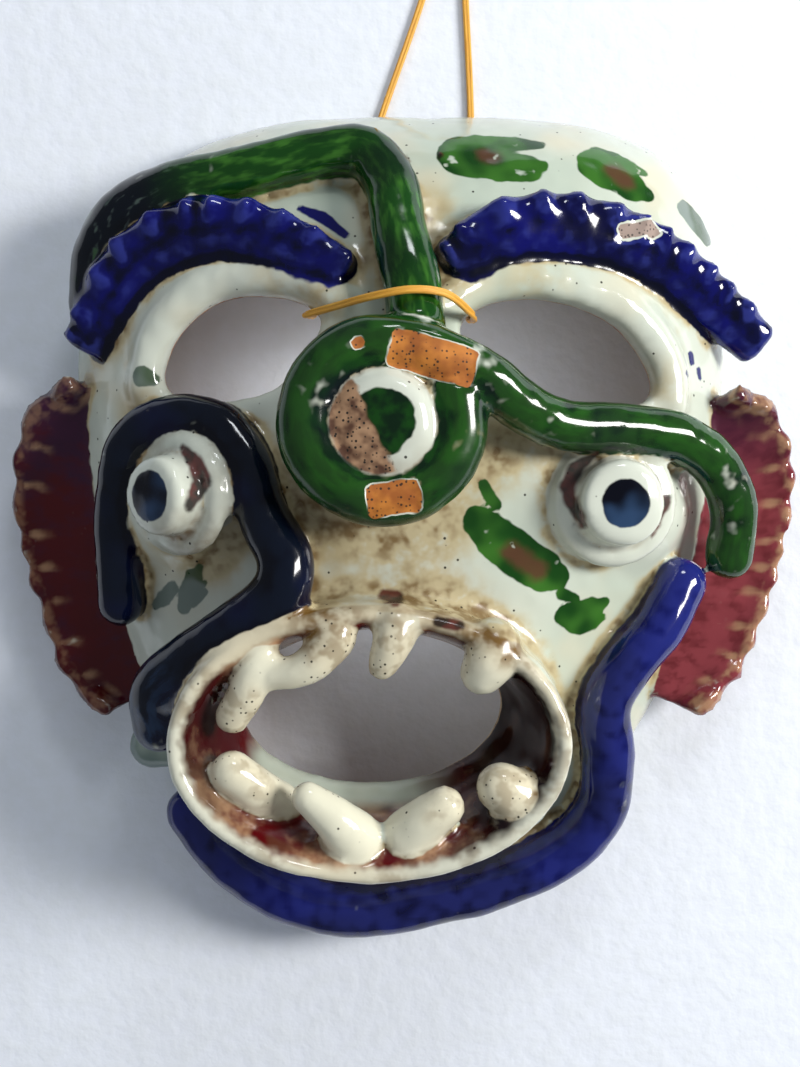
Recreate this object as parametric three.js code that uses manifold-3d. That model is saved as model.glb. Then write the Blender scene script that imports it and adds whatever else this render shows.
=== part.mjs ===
// A hand-built glazed ceramic wall mask, lying face up on its back rim, with its hanging cord laid out
// beyond the crown. The fired clay is one solid: a domed shell with clay coils, crimped brows, frilled
// ears, bulging eyes, a coiled nose and a trumpet mouth with teeth all luted on before firing.
// Millimetres. +X is the viewer's right, +Y the crown, +Z out of the face. The origin is under the
// middle of the mask, on the plane that the rim rests on.
import * as THREE from "three";
import { mergeVertices } from "three/addons/utils/BufferGeometryUtils.js";
import Module from "manifold-3d";

const wasm = await Module();
wasm.setup();

// Driving dimensions of the shell
const HALF_WIDTH = 110.5; // at the line where the brows start
const BROW_LINE = 45; // height of the widest line above the drawing's middle
const CROWN = 97; // from the widest line up to the crown
const CHIN = 169; // from the widest line down to the chin
const CROWN_SQUARENESS = { left: 2.75, right: 3.8 }; // exponent of the outline above the widest line
const CHIN_SQUARENESS = 1.95; // and below it
const DOME = 58; // depth of the shell without what is luted on
const SHOULDER = 2.2; // how far out the dome stays full
const ROUNDNESS = 0.55; // how steeply it then falls to the rim
const WALL = 7; // clay thickness
const CORD_GAP = 5; // the rim is trimmed this high under the crown, where the cord leaves
const CORD_GAP_ARC = 110; // radius of that trimmed arch
const CORD_GAP_X = 9;

// The drawing's middle is moved so that the finished mask is centred on the origin
const CENTRE = [-1.3, -4.4];

// Coils of clay, as the line down their middle and their radius
const GREEN = { color: 0x1f4a1c, roughness: 0.18, metalness: 0 };
const CROWN_COIL = {
  line: [
    [5, 55, 69], [3.5, 71, 66], [0, 88, 61], [-3, 105.5, 53], [-11, 117, 47], [-24, 117, 46], [-40, 113.5, 45],
    [-57, 110.5, 41], [-74, 107.5, 34], [-87, 101, 28], [-95, 89, 25], [-97, 75, 24],
  ],
  radius: (t) => 8.6 - 1.2 * bump(t, 0.5, 0.2) + 2.6 * bump(t, 0.9, 0.16),
};
const NOSE = [-5, 32]; // middle of the coiled nose
const NOSE_RING = 21.5; // radius of the coil's middle line
const NOSE_RING_Z = 75;
const NOSE_TURN = [-0.1, -4.95]; // the coil starts at the right and goes clockwise, to the upper right
const NOSE_COIL = {
  line: [
    ...turn(NOSE, NOSE_RING, NOSE_RING_Z, NOSE_TURN, 12),
    [22, 46, 75], [33, 38, 69], [47, 32, 61.5], [65, 31.5, 55], [84, 29.5, 49], [98, 21, 42], [105, 7.5, 37],
    [104, -7, 34],
  ],
  radius: (t) => 8.8 - 1.2 * smooth(t, 0.45, 0.62) - 0.8 * bump(t, 0.52, 0.05),
};
const LEFT_COIL = {
  line: [
    [-88.5, -22, 34], [-88.5, -5, 38], [-87, 13.5, 41], [-82, 29, 44.5], [-69, 35, 50], [-55, 32.5, 55],
    [-45.5, 21, 58], [-40.5, 5.5, 60], [-33.5, -7.5, 62.5], [-34.5, -16.5, 63], [-48, -28, 60], [-64, -39, 53],
    [-74.5, -49, 45], [-75, -60, 38],
  ],
  radius: (t) => 7.3 + 1.4 * smooth(t, 0.45, 0.7),
};
const CHIN_COIL = {
  line: [
    [88.5, -16, 35], [81.5, -28.5, 38], [71, -40.5, 40], [64, -53, 39], [66, -71, 34], [65, -88.5, 27],
    [54, -103, 22], [33, -113.5, 20], [9, -120, 19], [-17, -124, 18], [-39, -118.5, 18], [-57, -106, 19],
    [-68.5, -91, 21],
  ],
  radius: (t) => 8.2 + 0.9 * bump(t, 0.62, 0.22),
};
const JAW_STUB = { line: [[-66, -64, 22], [-74, -68, 20], [-81, -69, 18]], radius: () => 8.2 };

// Brows: a strip of clay crimped along its upper edge
const BROW_HALF_WIDTH = 9.8;
const BROW_HEIGHT = 6.5;
const BROW_CREST = 5.5;
const BROWS = {
  left: {
    line: [[-99, 61, 26], [-88.5, 77.5, 33], [-74.5, 89, 39.5], [-56.5, 92.5, 45.5], [-39, 89, 51], [-25, 82, 54],
      [-18, 77.5, 55]],
    flutes: 10, up: -1,
  },
  right: {
    line: [[17, 80, 56], [27, 88, 53.5], [43.5, 92.5, 49.5], [60.5, 91.5, 45], [78.5, 86, 38.5], [97, 75.5, 29.5],
      [116, 62, 21]],
    flutes: 12, up: -1,
  },
};

// Openings for the eyes, with a rolled lid over each
const LID_RADIUS = 6;
const EYE_HOLES = {
  left: [[-74, 46], [-70, 60], [-57, 70.5], [-42.5, 72.5], [-30, 70], [-23.5, 65], [-28.5, 54], [-38, 43.5], [-56, 40.5]],
  right: [[17.5, 62], [28, 70], [48, 71], [67, 64.5], [78.5, 51], [79, 43], [61, 37.5], [43.5, 38], [30, 47]],
};
const LIDS = {
  left: [[-80, 46, 38], [-76, 62, 39], [-60, 76.5, 44], [-42.5, 79, 48.5], [-28, 76.5, 52], [-18.5, 70, 55]],
  right: [[12.5, 67, 56], [24, 76.5, 52], [48, 77.5, 47], [71, 69.5, 41], [84.5, 52, 35], [85, 40, 35]],
};

// Bulging eyes: a barrel of clay in a collar, on a swelling of the cheek
const EYES = {
  left: { socket: [-62, 12, 50], aim: [-0.62, -0.06, 0.78], reach: 18, radius: 12 },
  right: { socket: [64, 9.5, 46], aim: [0.12, -0.04, 0.99], reach: 17, radius: 13 },
};
const EYE_COLLAR = 3.4;
const CHEEK = [29, 27, 26];
const CHEEK_SINK = 20;

// Nose: the cone under the coil, and the knob inside it
const NOSE_CONE = [28, 27, 26];
const NOSE_CONE_Z = 48;
const KNOB = { foot: [-3, 31.5, 62], tip: [-6, 30, 84.5], radius: 15 };

// Mouth: a trumpet from the throat in the shell to the rim of the lips
const THROAT = { at: [-9.5, -54, 36], across: 43, along: 27 };
const LIPS = { at: [-8.8, -62, 70], across: 57.5, along: 38.5 };
const LIP_WALL = 3.6; // half the thickness of the lips
const LIP_FOOT = 13; // how much the outside of the trumpet spreads where it meets the face
const LIP_ROOT = -0.16; // how far the trumpet runs back into the shell, as a share of its depth

// Teeth, as root, middle, tip, radius at the root and radius at the tip
const TEETH = [
  [[-41, -36, 62], [-44, -45, 63], [-49.5, -54, 60], 6, 5.2],
  [[-19, -30.5, 64], [-27, -39, 65], [-38, -41.5, 64], 6.6, 4.4],
  [[-1, -27, 64], [-2.5, -32, 66], [-5, -38, 65], 7.4, 4.6],
  [[27.5, -33, 62], [26, -37, 64], [24, -40.5, 63], 8.6, 7],
  [[-36, -82, 49], [-42, -77, 57], [-49, -70.5, 61], 8, 6.8],
  [[-14, -90.5, 59], [-19, -84.5, 63], [-26.5, -77.5, 65], 8.6, 6.6],
  [[3.5, -88.5, 59], [8, -83.5, 62], [12.5, -79.5, 63], 8.4, 7.2],
  [[35, -78.5, 58], [32, -76.5, 61], [28.5, -75, 62], 9, 8.2],
];

// Ears: thin frilled slabs on the sides of the shell
const EAR_SLAB = 6.5;
const EARS = {
  left: {
    root: [[-96, 46, 17], [-96, -4, 17], [-84, -54, 15]],
    edge: [[-104, 47, 20], [-121, 38, 14], [-127, 18, 10], [-125, -4, 9], [-118, -26, 9], [-109, -47, 10], [-94, -57, 13]],
    flutes: 9,
  },
  right: {
    root: [[98, 42, 17], [97, -4, 17], [84, -54, 15]],
    edge: [[107, 43, 22], [123, 38, 14], [129.5, 21, 10], [127, -2, 9], [121, -24, 9], [112, -44, 10], [96, -58, 13]],
    flutes: 11,
  },
};
const EAR_CURL = 7; // how far the edge lifts out of the slab's plane
const EAR_RIPPLE = 1.6; // depth of the frill

// Hanging cord: through both eye openings over the bridge of the nose, then out under the crown
const CORD_RADIUS = 1.1;
const CORD_FLOOR = CORD_RADIUS + 0.25;
const CORD = [
  [-24, 91, CORD_FLOOR + 0.6], [-26.5, 83, 2.6], [-28, 75.5, 9], [-28.6, 70.5, 24], [-28.6, 67.8, 42],
  [-27.4, 65.4, 56.5], [-18, 66, 67], [-7, 67.4, 75], [3.4, 68.6, 77.6], [12.5, 68.2, 74.5], [20.6, 65, 62],
  [22.4, 65.4, 49], [22.8, 68, 30], [23, 72.5, 12], [23.3, 80, 3.4], [23.6, 92, CORD_FLOOR],
  [24, 117, CORD_FLOOR], [24.3, 143, CORD_FLOOR], [22.5, 183, CORD_FLOOR], [21.5, 205, CORD_FLOOR],
  [17, 209.5, CORD_FLOOR], [13.5, 204, CORD_FLOOR], [7.5, 183, CORD_FLOOR], [-6.2, 143.5, CORD_FLOOR],
  [-15, 117, CORD_FLOOR], [-21, 98, CORD_FLOOR],
];

const CLAY = { color: 0xd9dccb, roughness: 0.2, metalness: 0 };
const RAFFIA = { color: 0xd9a441, roughness: 0.6, metalness: 0 };

// Small functions of a position from 0 to 1
function smooth(t, from, to) {
  return THREE.MathUtils.smoothstep(t, from, to);
}

function bump(t, at, width) {
  return Math.exp(-(((t - at) / width) ** 2));
}

// Points round part of a circle that lies in the plane of the face
function turn([x, y], radius, z, [from, to], count) {
  return Array.from({ length: count }, (_, i) => {
    const angle = from + ((to - from) * i) / (count - 1);
    return [x + radius * Math.cos(angle), y + radius * Math.sin(angle), z];
  });
}

function curveThrough(points) {
  return new THREE.CatmullRomCurve3(points.map((p) => new THREE.Vector3(...p)), false, "centripetal");
}

// Moves every vertex of a geometry to where place(vertex) puts it
function reshape(geometry, place) {
  const position = geometry.getAttribute("position");
  const vertex = new THREE.Vector3();
  for (let i = 0; i < position.count; i++) {
    vertex.fromBufferAttribute(position, i);
    place(vertex);
    position.setXYZ(i, vertex.x, vertex.y, vertex.z);
  }
  return geometry;
}

function solid(geometry) {
  const bare = geometry.clone();
  bare.deleteAttribute("normal");
  bare.deleteAttribute("uv");
  const merged = mergeVertices(bare, 1e-3);
  const made = new wasm.Manifold(
    new wasm.Mesh({
      numProp: 3,
      vertProperties: new Float32Array(merged.getAttribute("position").array),
      triVerts: new Uint32Array(merged.index.array),
    }),
  );
  return made;
}

// The one body of the clay: air shut in under what is luted on counts as filled
function pressed(made) {
  return made.decompose().reduce((kept, body) => (body.volume() > kept.volume() ? body : kept));
}

function geometryOf(made) {
  const mesh = made.getMesh();
  return new THREE.BufferGeometry()
    .setAttribute("position", new THREE.BufferAttribute(mesh.vertProperties, 3))
    .setIndex(new THREE.BufferAttribute(mesh.triVerts, 1));
}

// A round bar bent along a line, with domed ends. Its width lies along the face and its height out of it.
function coil(points, radius, { sides = 8, step = 11.5, width = 1, height = 1, shape = null } = {}) {
  const curve = curveThrough(points);
  const length = curve.getLength();
  const bar = new THREE.CapsuleGeometry(1, length, 2, sides, Math.max(3, Math.round(length / step)));
  const outward = new THREE.Vector3(0, 0, 1);
  return reshape(bar, (v) => {
    const t = THREE.MathUtils.clamp(v.y / length + 0.5, 0, 1);
    const past = v.y - (t - 0.5) * length;
    const along = curve.getTangentAt(t);
    const across = new THREE.Vector3().crossVectors(along, outward).normalize();
    const normal = new THREE.Vector3().crossVectors(across, along);
    const section = { x: v.x * width, z: v.z * height };
    if (shape) shape(section, t);
    const r = radius(t);
    v.copy(curve.getPointAt(t))
      .addScaledVector(across, section.x * r)
      .addScaledVector(normal, section.z * r)
      .addScaledVector(along, past * r);
  });
}

function ellipsoid([x, y, z], [a, b, c], segments = 12) {
  return new THREE.SphereGeometry(1, segments, Math.round(segments * 0.6)).scale(a, b, c).translate(x, y, z);
}

// Distance from the middle of the widest line to the outline, in a direction
function outlineRadius(cos, sin) {
  const crown = cos < 0 ? CROWN_SQUARENESS.left : CROWN_SQUARENESS.right;
  const [reach, exponent] = sin > 0 ? [CROWN, crown] : [CHIN, CHIN_SQUARENESS];
  const sum = (Math.abs(cos) / HALF_WIDTH) ** exponent + (Math.abs(sin) / reach) ** exponent;
  return sum ** (-1 / exponent);
}

// The dome as a solid, drawn in from the outer face by inset, and reaching down to z = foot
function dome(inset, foot, rings, segments) {
  const profile = [new THREE.Vector2(0, 0)];
  for (let i = 0; i <= rings; i++) profile.push(new THREE.Vector2(Math.cos((i / rings) * Math.PI * 0.5), i / rings));
  profile[profile.length - 1].x = 0;
  profile.splice(1, 0, new THREE.Vector2(1, -1));
  const round = new THREE.LatheGeometry(profile, segments);
  return reshape(round, (v) => {
    const share = Math.hypot(v.x, v.z);
    const cos = share > 0 ? v.x / share : 1;
    const sin = share > 0 ? -v.z / share : 0;
    const reach = share * (outlineRadius(cos, sin) - inset);
    const rise = (DOME - inset) * (1 - Math.min(1, share) ** SHOULDER) ** ROUNDNESS;
    const top = v.y >= 0 && share > 0 ? rise : foot;
    v.set(reach * cos, BROW_LINE + reach * sin, share === 0 ? (v.y > 0.5 ? rise : foot) : v.y < 0 ? foot : top);
  });
}

function eyeHole(outline) {
  const curve = new THREE.CatmullRomCurve3(outline.map(([x, y]) => new THREE.Vector3(x, y, 0)), true, "centripetal");
  const shape = new THREE.Shape(curve.getPoints(20).map((p) => new THREE.Vector2(p.x, p.y)));
  return new THREE.ExtrudeGeometry(shape, { depth: 80, bevelEnabled: false }).translate(0, 0, 10);
}

function throat() {
  const { at, across, along } = THROAT;
  return new THREE.CylinderGeometry(1, 1, 60, 28).rotateX(Math.PI / 2).scale(across, along, 1).translate(...at);
}

// The trumpet of the lips: a rounded wall that opens from the throat to the rim
function lips() {
  const ring = new THREE.TorusGeometry(2, 1, 8, 26);
  return reshape(ring, (v) => {
    const around = Math.atan2(v.y, v.x);
    const inOut = Math.hypot(v.x, v.y) - 2;
    const blunt = Math.sign(v.z) * Math.sqrt(Math.abs(v.z));
    const forward = LIP_ROOT + (1 - LIP_ROOT) * (0.5 + 0.5 * blunt);
    const flare = Math.max(0, forward) ** 0.75;
    const mix = (a, b) => a + (b - a) * flare;
    const wall = inOut * LIP_WALL + LIP_FOOT * Math.max(0, inOut) * (1 - flare) ** 1.5;
    const across = mix(THROAT.across, LIPS.across) + wall;
    const along = mix(THROAT.along, LIPS.along) + wall;
    v.set(
      mix(THROAT.at[0], LIPS.at[0]) + across * Math.cos(around),
      mix(THROAT.at[1], LIPS.at[1]) + along * Math.sin(around),
      THROAT.at[2] + (LIPS.at[2] - THROAT.at[2]) * forward,
    );
  });
}

// Turns a geometry made about +Y so that it points along aim, and sets it at a point
function aimed(geometry, aim, [x, y, z]) {
  const to = new THREE.Vector3(...aim).normalize();
  const spin = new THREE.Quaternion().setFromUnitVectors(new THREE.Vector3(0, 1, 0), to);
  return geometry.applyQuaternion(spin).translate(x, y, z);
}

function eye({ socket, aim, reach, radius }) {
  const barrel = [[0, -8], [radius, -8], [radius, reach - 4], [radius * 0.8, reach], [0, reach + 0.6]];
  const profile = barrel.map(([r, h]) => new THREE.Vector2(r, h));
  const collar = new THREE.TorusGeometry(radius + EYE_COLLAR, EYE_COLLAR, 5, 14).rotateX(Math.PI / 2).translate(0, 5, 0);
  return [aimed(new THREE.LatheGeometry(profile, 16), aim, socket), aimed(collar, aim, socket)];
}

function cheek({ socket }) {
  return ellipsoid([socket[0], socket[1], socket[2] - CHEEK_SINK], CHEEK);
}

function knob() {
  const { foot, tip, radius } = KNOB;
  const aim = tip.map((value, i) => value - foot[i]);
  const tall = Math.hypot(...aim);
  const profile = [[0, -10], [radius + 2, -10], [radius + 1, 4], [radius, tall - 4], [radius * 0.75, tall], [0, tall + 1]];
  return aimed(new THREE.LatheGeometry(profile.map(([r, h]) => new THREE.Vector2(r, h)), 18), aim, foot);
}

function tooth([root, middle, tip, thick, thin]) {
  return coil([root, middle, tip], (t) => thick + (thin - thick) * t, { sides: 6, step: 9 });
}

// A brow is flat below and rises to a crest along its upper edge, pinched into flutes
function brow({ line, flutes, up }) {
  const crimp = (section, t) => {
    const upper = Math.max(0, up * section.x / BROW_HALF_WIDTH);
    const pinch = Math.abs(Math.sin(Math.PI * flutes * t));
    section.x *= 1 + 0.1 * upper * pinch;
    section.z += BROW_CREST * upper * (0.45 + 0.55 * pinch);
  };
  const taper = (t) => 0.72 + 0.28 * Math.sin(Math.PI * Math.min(1, 0.18 + 0.82 * t));
  return coil(line, taper, { sides: 7, step: 4.7, width: BROW_HALF_WIDTH, height: BROW_HEIGHT, shape: crimp });
}

// An ear is a slab between its root on the shell and a curled, frilled edge
function ear({ root, edge, flutes }) {
  const slab = new THREE.BoxGeometry(1, 1, 1, flutes * 2, 2, 1);
  const roots = curveThrough(root);
  const edges = curveThrough(edge);
  return reshape(slab, (v) => {
    const along = root[0][0] > 0 ? v.x + 0.5 : 0.5 - v.x;
    const out = v.y + 0.5;
    const frill = Math.abs(Math.sin(Math.PI * flutes * along));
    const from = roots.getPointAt(along);
    const to = edges.getPointAt(along);
    const lift = EAR_CURL * out ** 3 - EAR_RIPPLE * (1 - frill) * out ** 2;
    const side = v.z;
    v.copy(from).lerp(to, out * (0.97 + 0.03 * frill));
    v.z += lift + side * EAR_SLAB * (1 - 0.25 * out);
  });
}

// One fired solid: what is luted on is joined to the shell, and the hollow behind is cut from all of it
function mask() {
  let shell = solid(dome(0, 0, 9, 40));
  for (const which of Object.values(EYES)) shell = shell.add(solid(cheek(which)));
  shell = shell.add(solid(ellipsoid([...NOSE, NOSE_CONE_Z], NOSE_CONE, 14)));
  for (const outline of Object.values(EYE_HOLES)) shell = shell.subtract(solid(eyeHole(outline)));
  shell = shell.subtract(solid(throat()));
  const luted = [lips(), knob(), coil(JAW_STUB.line, JAW_STUB.radius)];
  for (const { line, radius } of [CROWN_COIL, NOSE_COIL, LEFT_COIL, CHIN_COIL]) luted.push(coil(line, radius));
  for (const line of Object.values(LIDS)) luted.push(coil(line, () => LID_RADIUS, { sides: 6, step: 14 }));
  for (const strip of Object.values(BROWS)) luted.push(brow(strip));
  for (const which of Object.values(EYES)) luted.push(...eye(which));
  for (const which of Object.values(EARS)) luted.push(ear(which));
  for (const which of TEETH) luted.push(tooth(which));
  for (const geometry of luted) shell = shell.add(solid(geometry));
  shell = shell.subtract(solid(dome(WALL, -20, 6, 28)));
  const arch = new THREE.CylinderGeometry(CORD_GAP_ARC, CORD_GAP_ARC, 60, 96);
  arch.translate(CORD_GAP_X, BROW_LINE + CROWN, CORD_GAP - CORD_GAP_ARC);
  return geometryOf(pressed(shell.subtract(solid(arch))));
}

function cord() {
  const curve = curveThrough(CORD);
  const ring = new THREE.Shape().absarc(0, 0, CORD_RADIUS, 0, Math.PI * 2);
  return new THREE.ExtrudeGeometry(ring, { steps: 58, curveSegments: 3, extrudePath: curve, bevelEnabled: false });
}

function part(name, geometry, looks) {
  const mesh = new THREE.Mesh(geometry, new THREE.MeshStandardMaterial(looks));
  mesh.name = name;
  mesh.position.set(CENTRE[0], CENTRE[1], 0);
  return mesh;
}

const wallMask = new THREE.Group();
wallMask.add(part("ceramic_mask", mask(), CLAY));
wallMask.add(part("hanging_cord", cord(), RAFFIA));

export default wallMask;
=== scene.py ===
"""Dresses a hand-built ceramic wall mask: its glazed clay, its hanging cord and the stage it lies on.

The shapes are drawn in the part's own millimetres and moved to the frame's metres when a piece is finished.
+X is the viewer's right, +Y the crown, +Z out of the face.
"""
import math

import bmesh
import bpy
import numpy as np
from bpy.props import FloatProperty, FloatVectorProperty, PointerProperty
from mathutils import Matrix, Vector, noise
from mathutils.bvhtree import BVHTree
from mathutils.kdtree import KDTree


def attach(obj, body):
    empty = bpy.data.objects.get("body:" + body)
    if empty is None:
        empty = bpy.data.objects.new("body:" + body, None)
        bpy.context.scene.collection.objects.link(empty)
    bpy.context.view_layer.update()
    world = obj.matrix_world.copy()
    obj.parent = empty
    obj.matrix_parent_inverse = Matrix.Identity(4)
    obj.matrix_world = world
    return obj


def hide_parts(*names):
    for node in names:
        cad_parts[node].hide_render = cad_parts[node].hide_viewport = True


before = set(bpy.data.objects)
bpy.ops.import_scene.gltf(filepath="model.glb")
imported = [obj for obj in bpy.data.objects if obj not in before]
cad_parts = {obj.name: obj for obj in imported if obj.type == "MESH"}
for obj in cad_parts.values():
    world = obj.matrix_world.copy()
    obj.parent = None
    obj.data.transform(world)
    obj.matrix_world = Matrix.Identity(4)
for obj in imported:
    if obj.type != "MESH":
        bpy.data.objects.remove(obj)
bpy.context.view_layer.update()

bl_info = {
    "name": "Ceramic wall mask",
    "version": (1, 0, 0),
    "blender": (4, 5, 0),
    "location": "View3D > Sidebar > Wall mask",
    "description": "Builds a glazed clay mask with coils, frilled ears and teeth, and its hanging cord",
    "category": "Object",
}

MM = 0.001
CENTRE = (-1.3, -4.4)  # where the drawing's middle sits in the frame
TO_FRAME = Matrix.Scale(MM, 4) @ Matrix.Translation((*CENTRE, 0.0))

# The shell: an outline of two half superellipses, domed and hollow
HALF_WIDTH = 110.5
BROW_LINE = 45.0
CROWN = 97.0
CHIN = 169.0
CROWN_SQUARENESS_LEFT = 2.75
CROWN_SQUARENESS_RIGHT = 3.8
CHIN_SQUARENESS = 1.95
DOME = 58.0
SHOULDER = 2.2
ROUNDNESS = 0.55
DOME_SEGMENTS = (160, 112)
HOLLOW_SEGMENTS = (128, 96)
CUT_FOOT = -20.0
CUT_HEIGHT = 130.0

# The shallow arch under the crown that the cord passes through
CORD_GAP = 5.0
CORD_GAP_ARC = 110.0
CORD_GAP_X = 9.0
CORD_GAP_DEPTH = 60.0

# How much coarser than the finished clay the shell and the face are fused, and how often each is softened
SHELL_COARSENESS = 1.5
FACE_COARSENESS = 1.2
SHELL_SOFTENING = 6
FACE_SOFTENING = 5
CLAY_SOFTENING = 2

# Coils of clay, as their radius and the line down their middle
CROWN_RADIUS = 8.6
CROWN_COIL = [
    (5, 55, 69), (3.5, 71, 66), (0, 88, 61), (-3, 105.5, 53), (-11, 117, 47), (-24, 117, 46),
    (-40, 113.5, 45), (-57, 110.5, 41), (-74, 107.5, 34), (-87, 101, 28), (-95, 89, 25), (-97, 75, 24),
]
NOSE_RADIUS = 8.8
NOSE = (-5.0, 32.0)
NOSE_RING = 21.5
NOSE_RING_Z = 75.0
NOSE_TURN = (0.28, -4.95)
NOSE_TAIL = [
    (22, 46, 75), (33, 38, 69), (47, 32, 61.5), (65, 31.5, 55), (84, 29.5, 49), (98, 21, 42),
    (105, 7.5, 37), (104, -7, 34),
]
LEFT_RADIUS = 7.3
LEFT_COIL = [
    (-88.5, -22, 34), (-88.5, -5, 38), (-87, 13.5, 41), (-82, 29, 44.5), (-69, 35, 50), (-55, 32.5, 55),
    (-45.5, 21, 58), (-40.5, 5.5, 60), (-33.5, -7.5, 62.5), (-34.5, -16.5, 63), (-48, -28, 60),
    (-64, -39, 53), (-74.5, -49, 45), (-75, -60, 38),
]
CHIN_RADIUS = 8.2
CHIN_COIL = [
    (88.5, -16, 35), (81.5, -28.5, 38), (71, -40.5, 40), (64, -53, 39), (66, -71, 34), (65, -88.5, 27),
    (54, -103, 22), (33, -113.5, 20), (9, -120, 19), (-17, -124, 18), (-39, -118.5, 18), (-57, -106, 19),
    (-68.5, -91, 21),
]
JAW_STUB_RADIUS = 8.2
JAW_STUB = [(-66, -64, 22), (-74, -68, 20), (-81, -69, 18)]

# Brows, crimped along their upper edge
BROW_HALF_WIDTH = 9.8
BROW_HEIGHT = 6.5
BROW_CREST = 5.5
BROW_HOLLOW = 0.4  # of the crest's height, between two ridges
BROW_RIDGE = 0.75  # of the crest's height, on top of that
BROW_WIDENING = 1.03
RIDGE_WIDENING = 0.09
BROW_END = 3.5
LEFT_BROW = [
    (-99, 61, 26), (-88.5, 77.5, 33), (-74.5, 89, 39.5), (-56.5, 92.5, 45.5), (-39, 89, 51),
    (-25, 82, 54), (-18, 77.5, 55),
]
RIGHT_BROW = [
    (17, 80, 53.5), (27, 88, 52.5), (43.5, 92.5, 49.5), (60.5, 91.5, 45), (78.5, 86, 38.5),
    (97, 75.5, 29.5), (116, 62, 21),
]
LEFT_BROW_FLUTES = 10
RIGHT_BROW_FLUTES = 12

# Openings for the eyes, with a rolled lid over each
LID_RADIUS = 6.0
EYE_HOLES = [
    [
        (-74, 46), (-70, 60), (-57, 70.5), (-42.5, 72.5), (-30, 70), (-23.5, 65), (-28.5, 54), (-38, 43.5),
        (-56, 40.5),
    ],
    [(17.5, 62), (28, 70), (48, 71), (67, 64.5), (78.5, 51), (79, 43), (61, 37.5), (43.5, 38), (30, 47)],
]
LIDS = [
    [(-80, 46, 38), (-76, 62, 39), (-60, 76.5, 44), (-42.5, 79, 48.5), (-28, 76.5, 52), (-18.5, 70, 55)],
    [(12.5, 67, 56), (24, 76.5, 52), (48, 77.5, 47), (71, 69.5, 41), (84.5, 52, 35), (85, 40, 35)],
]

# Bulging eyes, as socket, the way they look, reach, radius and radius of the painted pupil
EYES = [
    ((-62, 12, 50), (-0.62, -0.06, 0.78), 18.0, 12.0, 7.6),
    ((64, 9.5, 46), (0.12, -0.04, 0.99), 17.0, 13.0, 7.2),
]
EYE_COLLAR = 3.4
EYE_COLLAR_HEIGHT = 5.0
EYE_ROOT = 8.0
PUPIL_DEPTH = 5.0
CHEEK = (29, 27, 26)
CHEEK_SINK = 20.0
NOSE_CONE = (28, 27, 26)
NOSE_CONE_Z = 48.0
KNOB_FOOT = (-3, 31.5, 62)
KNOB_TIP = (-6, 30, 84.5)
KNOB_RADIUS = 15.0
KNOB_ROOT = 10.0
KNOB_SPREAD = 2.0
KNOB_PAINT = (0.6, 0.9)  # how far the middle of the painting is from the tip

# Mouth: a trumpet from the throat to the lips, as middle and half sizes
THROAT = ((-9.5, -54, 36), 43.0, 27.0)
LIPS = ((-8.8, -62, 70), 57.5, 38.5)
LIP_WALL = 3.6
LIP_FOOT = 13.0
LIP_ROOT = -0.16
THROAT_CUT = 100.0
THROAT_CUT_Z = 20.0

# Teeth, as root, middle, tip and the radius at root and tip
TEETH = [
    ((-41, -36, 62), (-44, -45, 63), (-49.5, -54, 60), 6.0, 5.2),
    ((-19, -30.5, 64), (-27, -39, 65), (-38, -41.5, 64), 6.6, 4.4),
    ((-1, -27, 64), (-2.5, -32, 66), (-5, -38, 65), 7.4, 4.6),
    ((27.5, -33, 62), (26, -37, 64), (24, -40.5, 63), 8.6, 7.0),
    ((-37, -82, 50), (-42.5, -76.5, 57), (-49.5, -70, 61), 7.0, 6.2),
    ((-13.5, -91, 59), (-18, -85, 63), (-27, -77, 65), 8.8, 4.9),
    ((3, -89, 59), (8, -83.5, 62), (13, -80, 63), 7.8, 6.2),
    ((36, -79, 58), (33, -76.5, 61), (29.5, -74.5, 62), 8.6, 7.6),
]

# Ears, as the line they grow from, their edge and the number of flutes
LEFT_EAR = (
    [(-96, 46, 17), (-96, -4, 17), (-84, -54, 15)],
    [
        (-104, 47, 20), (-121, 38, 14), (-127, 18, 10), (-125, -4, 9), (-118, -26, 9), (-109, -47, 10),
        (-94, -57, 13),
    ],
    9,
)
RIGHT_EAR = (
    [(98, 42, 17), (97, -4, 17), (84, -54, 15)],
    [
        (107, 43, 22), (123, 38, 14), (129.5, 21, 10), (127, -2, 9), (121, -24, 9), (112, -44, 10),
        (96, -58, 13),
    ],
    11,
)
EAR_SLAB = 6.5
EAR_CURL = 7.0
EAR_RIPPLE = 3.2
EAR_NOTCH = 0.45
EAR_SCALLOP = 0.03
EAR_THINNING = 0.88

# The cord's route: from its knot up through the left eye, over the bridge, down, out to the loop and back
CORD_FLOOR = 1.35
CORD_WIDENING = 1.05
CORD_FLATNESS = 0.8
CORD_GROOVE = 0.3  # how deep the line between its two strands is, of its radius
CORD_GROOVE_WIDTH = 0.3
CORD = [
    (-24, 91, CORD_FLOOR + 0.6), (-26.5, 83, 2.6), (-28, 75.5, 9), (-28.6, 70.5, 24), (-28.6, 67.8, 42),
    (-27.4, 65.4, 56.5), (-18, 66, 67), (-7, 67.4, 75), (3.4, 68.6, 77.6), (12.5, 68.2, 74.5),
    (20.6, 65, 62), (22.4, 65.4, 49), (22.8, 68, 30), (23, 72.5, 12), (23.3, 80, 3.4),
    (23.6, 92, CORD_FLOOR), (24, 117, CORD_FLOOR), (24.3, 143, CORD_FLOOR), (22.5, 183, CORD_FLOOR),
    (21.5, 205, CORD_FLOOR), (17, 209.5, CORD_FLOOR), (13.5, 204, CORD_FLOOR), (7.5, 183, CORD_FLOOR),
    (-6.2, 143.5, CORD_FLOOR), (-15, 117, CORD_FLOOR), (-21, 98, CORD_FLOOR),
]

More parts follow.
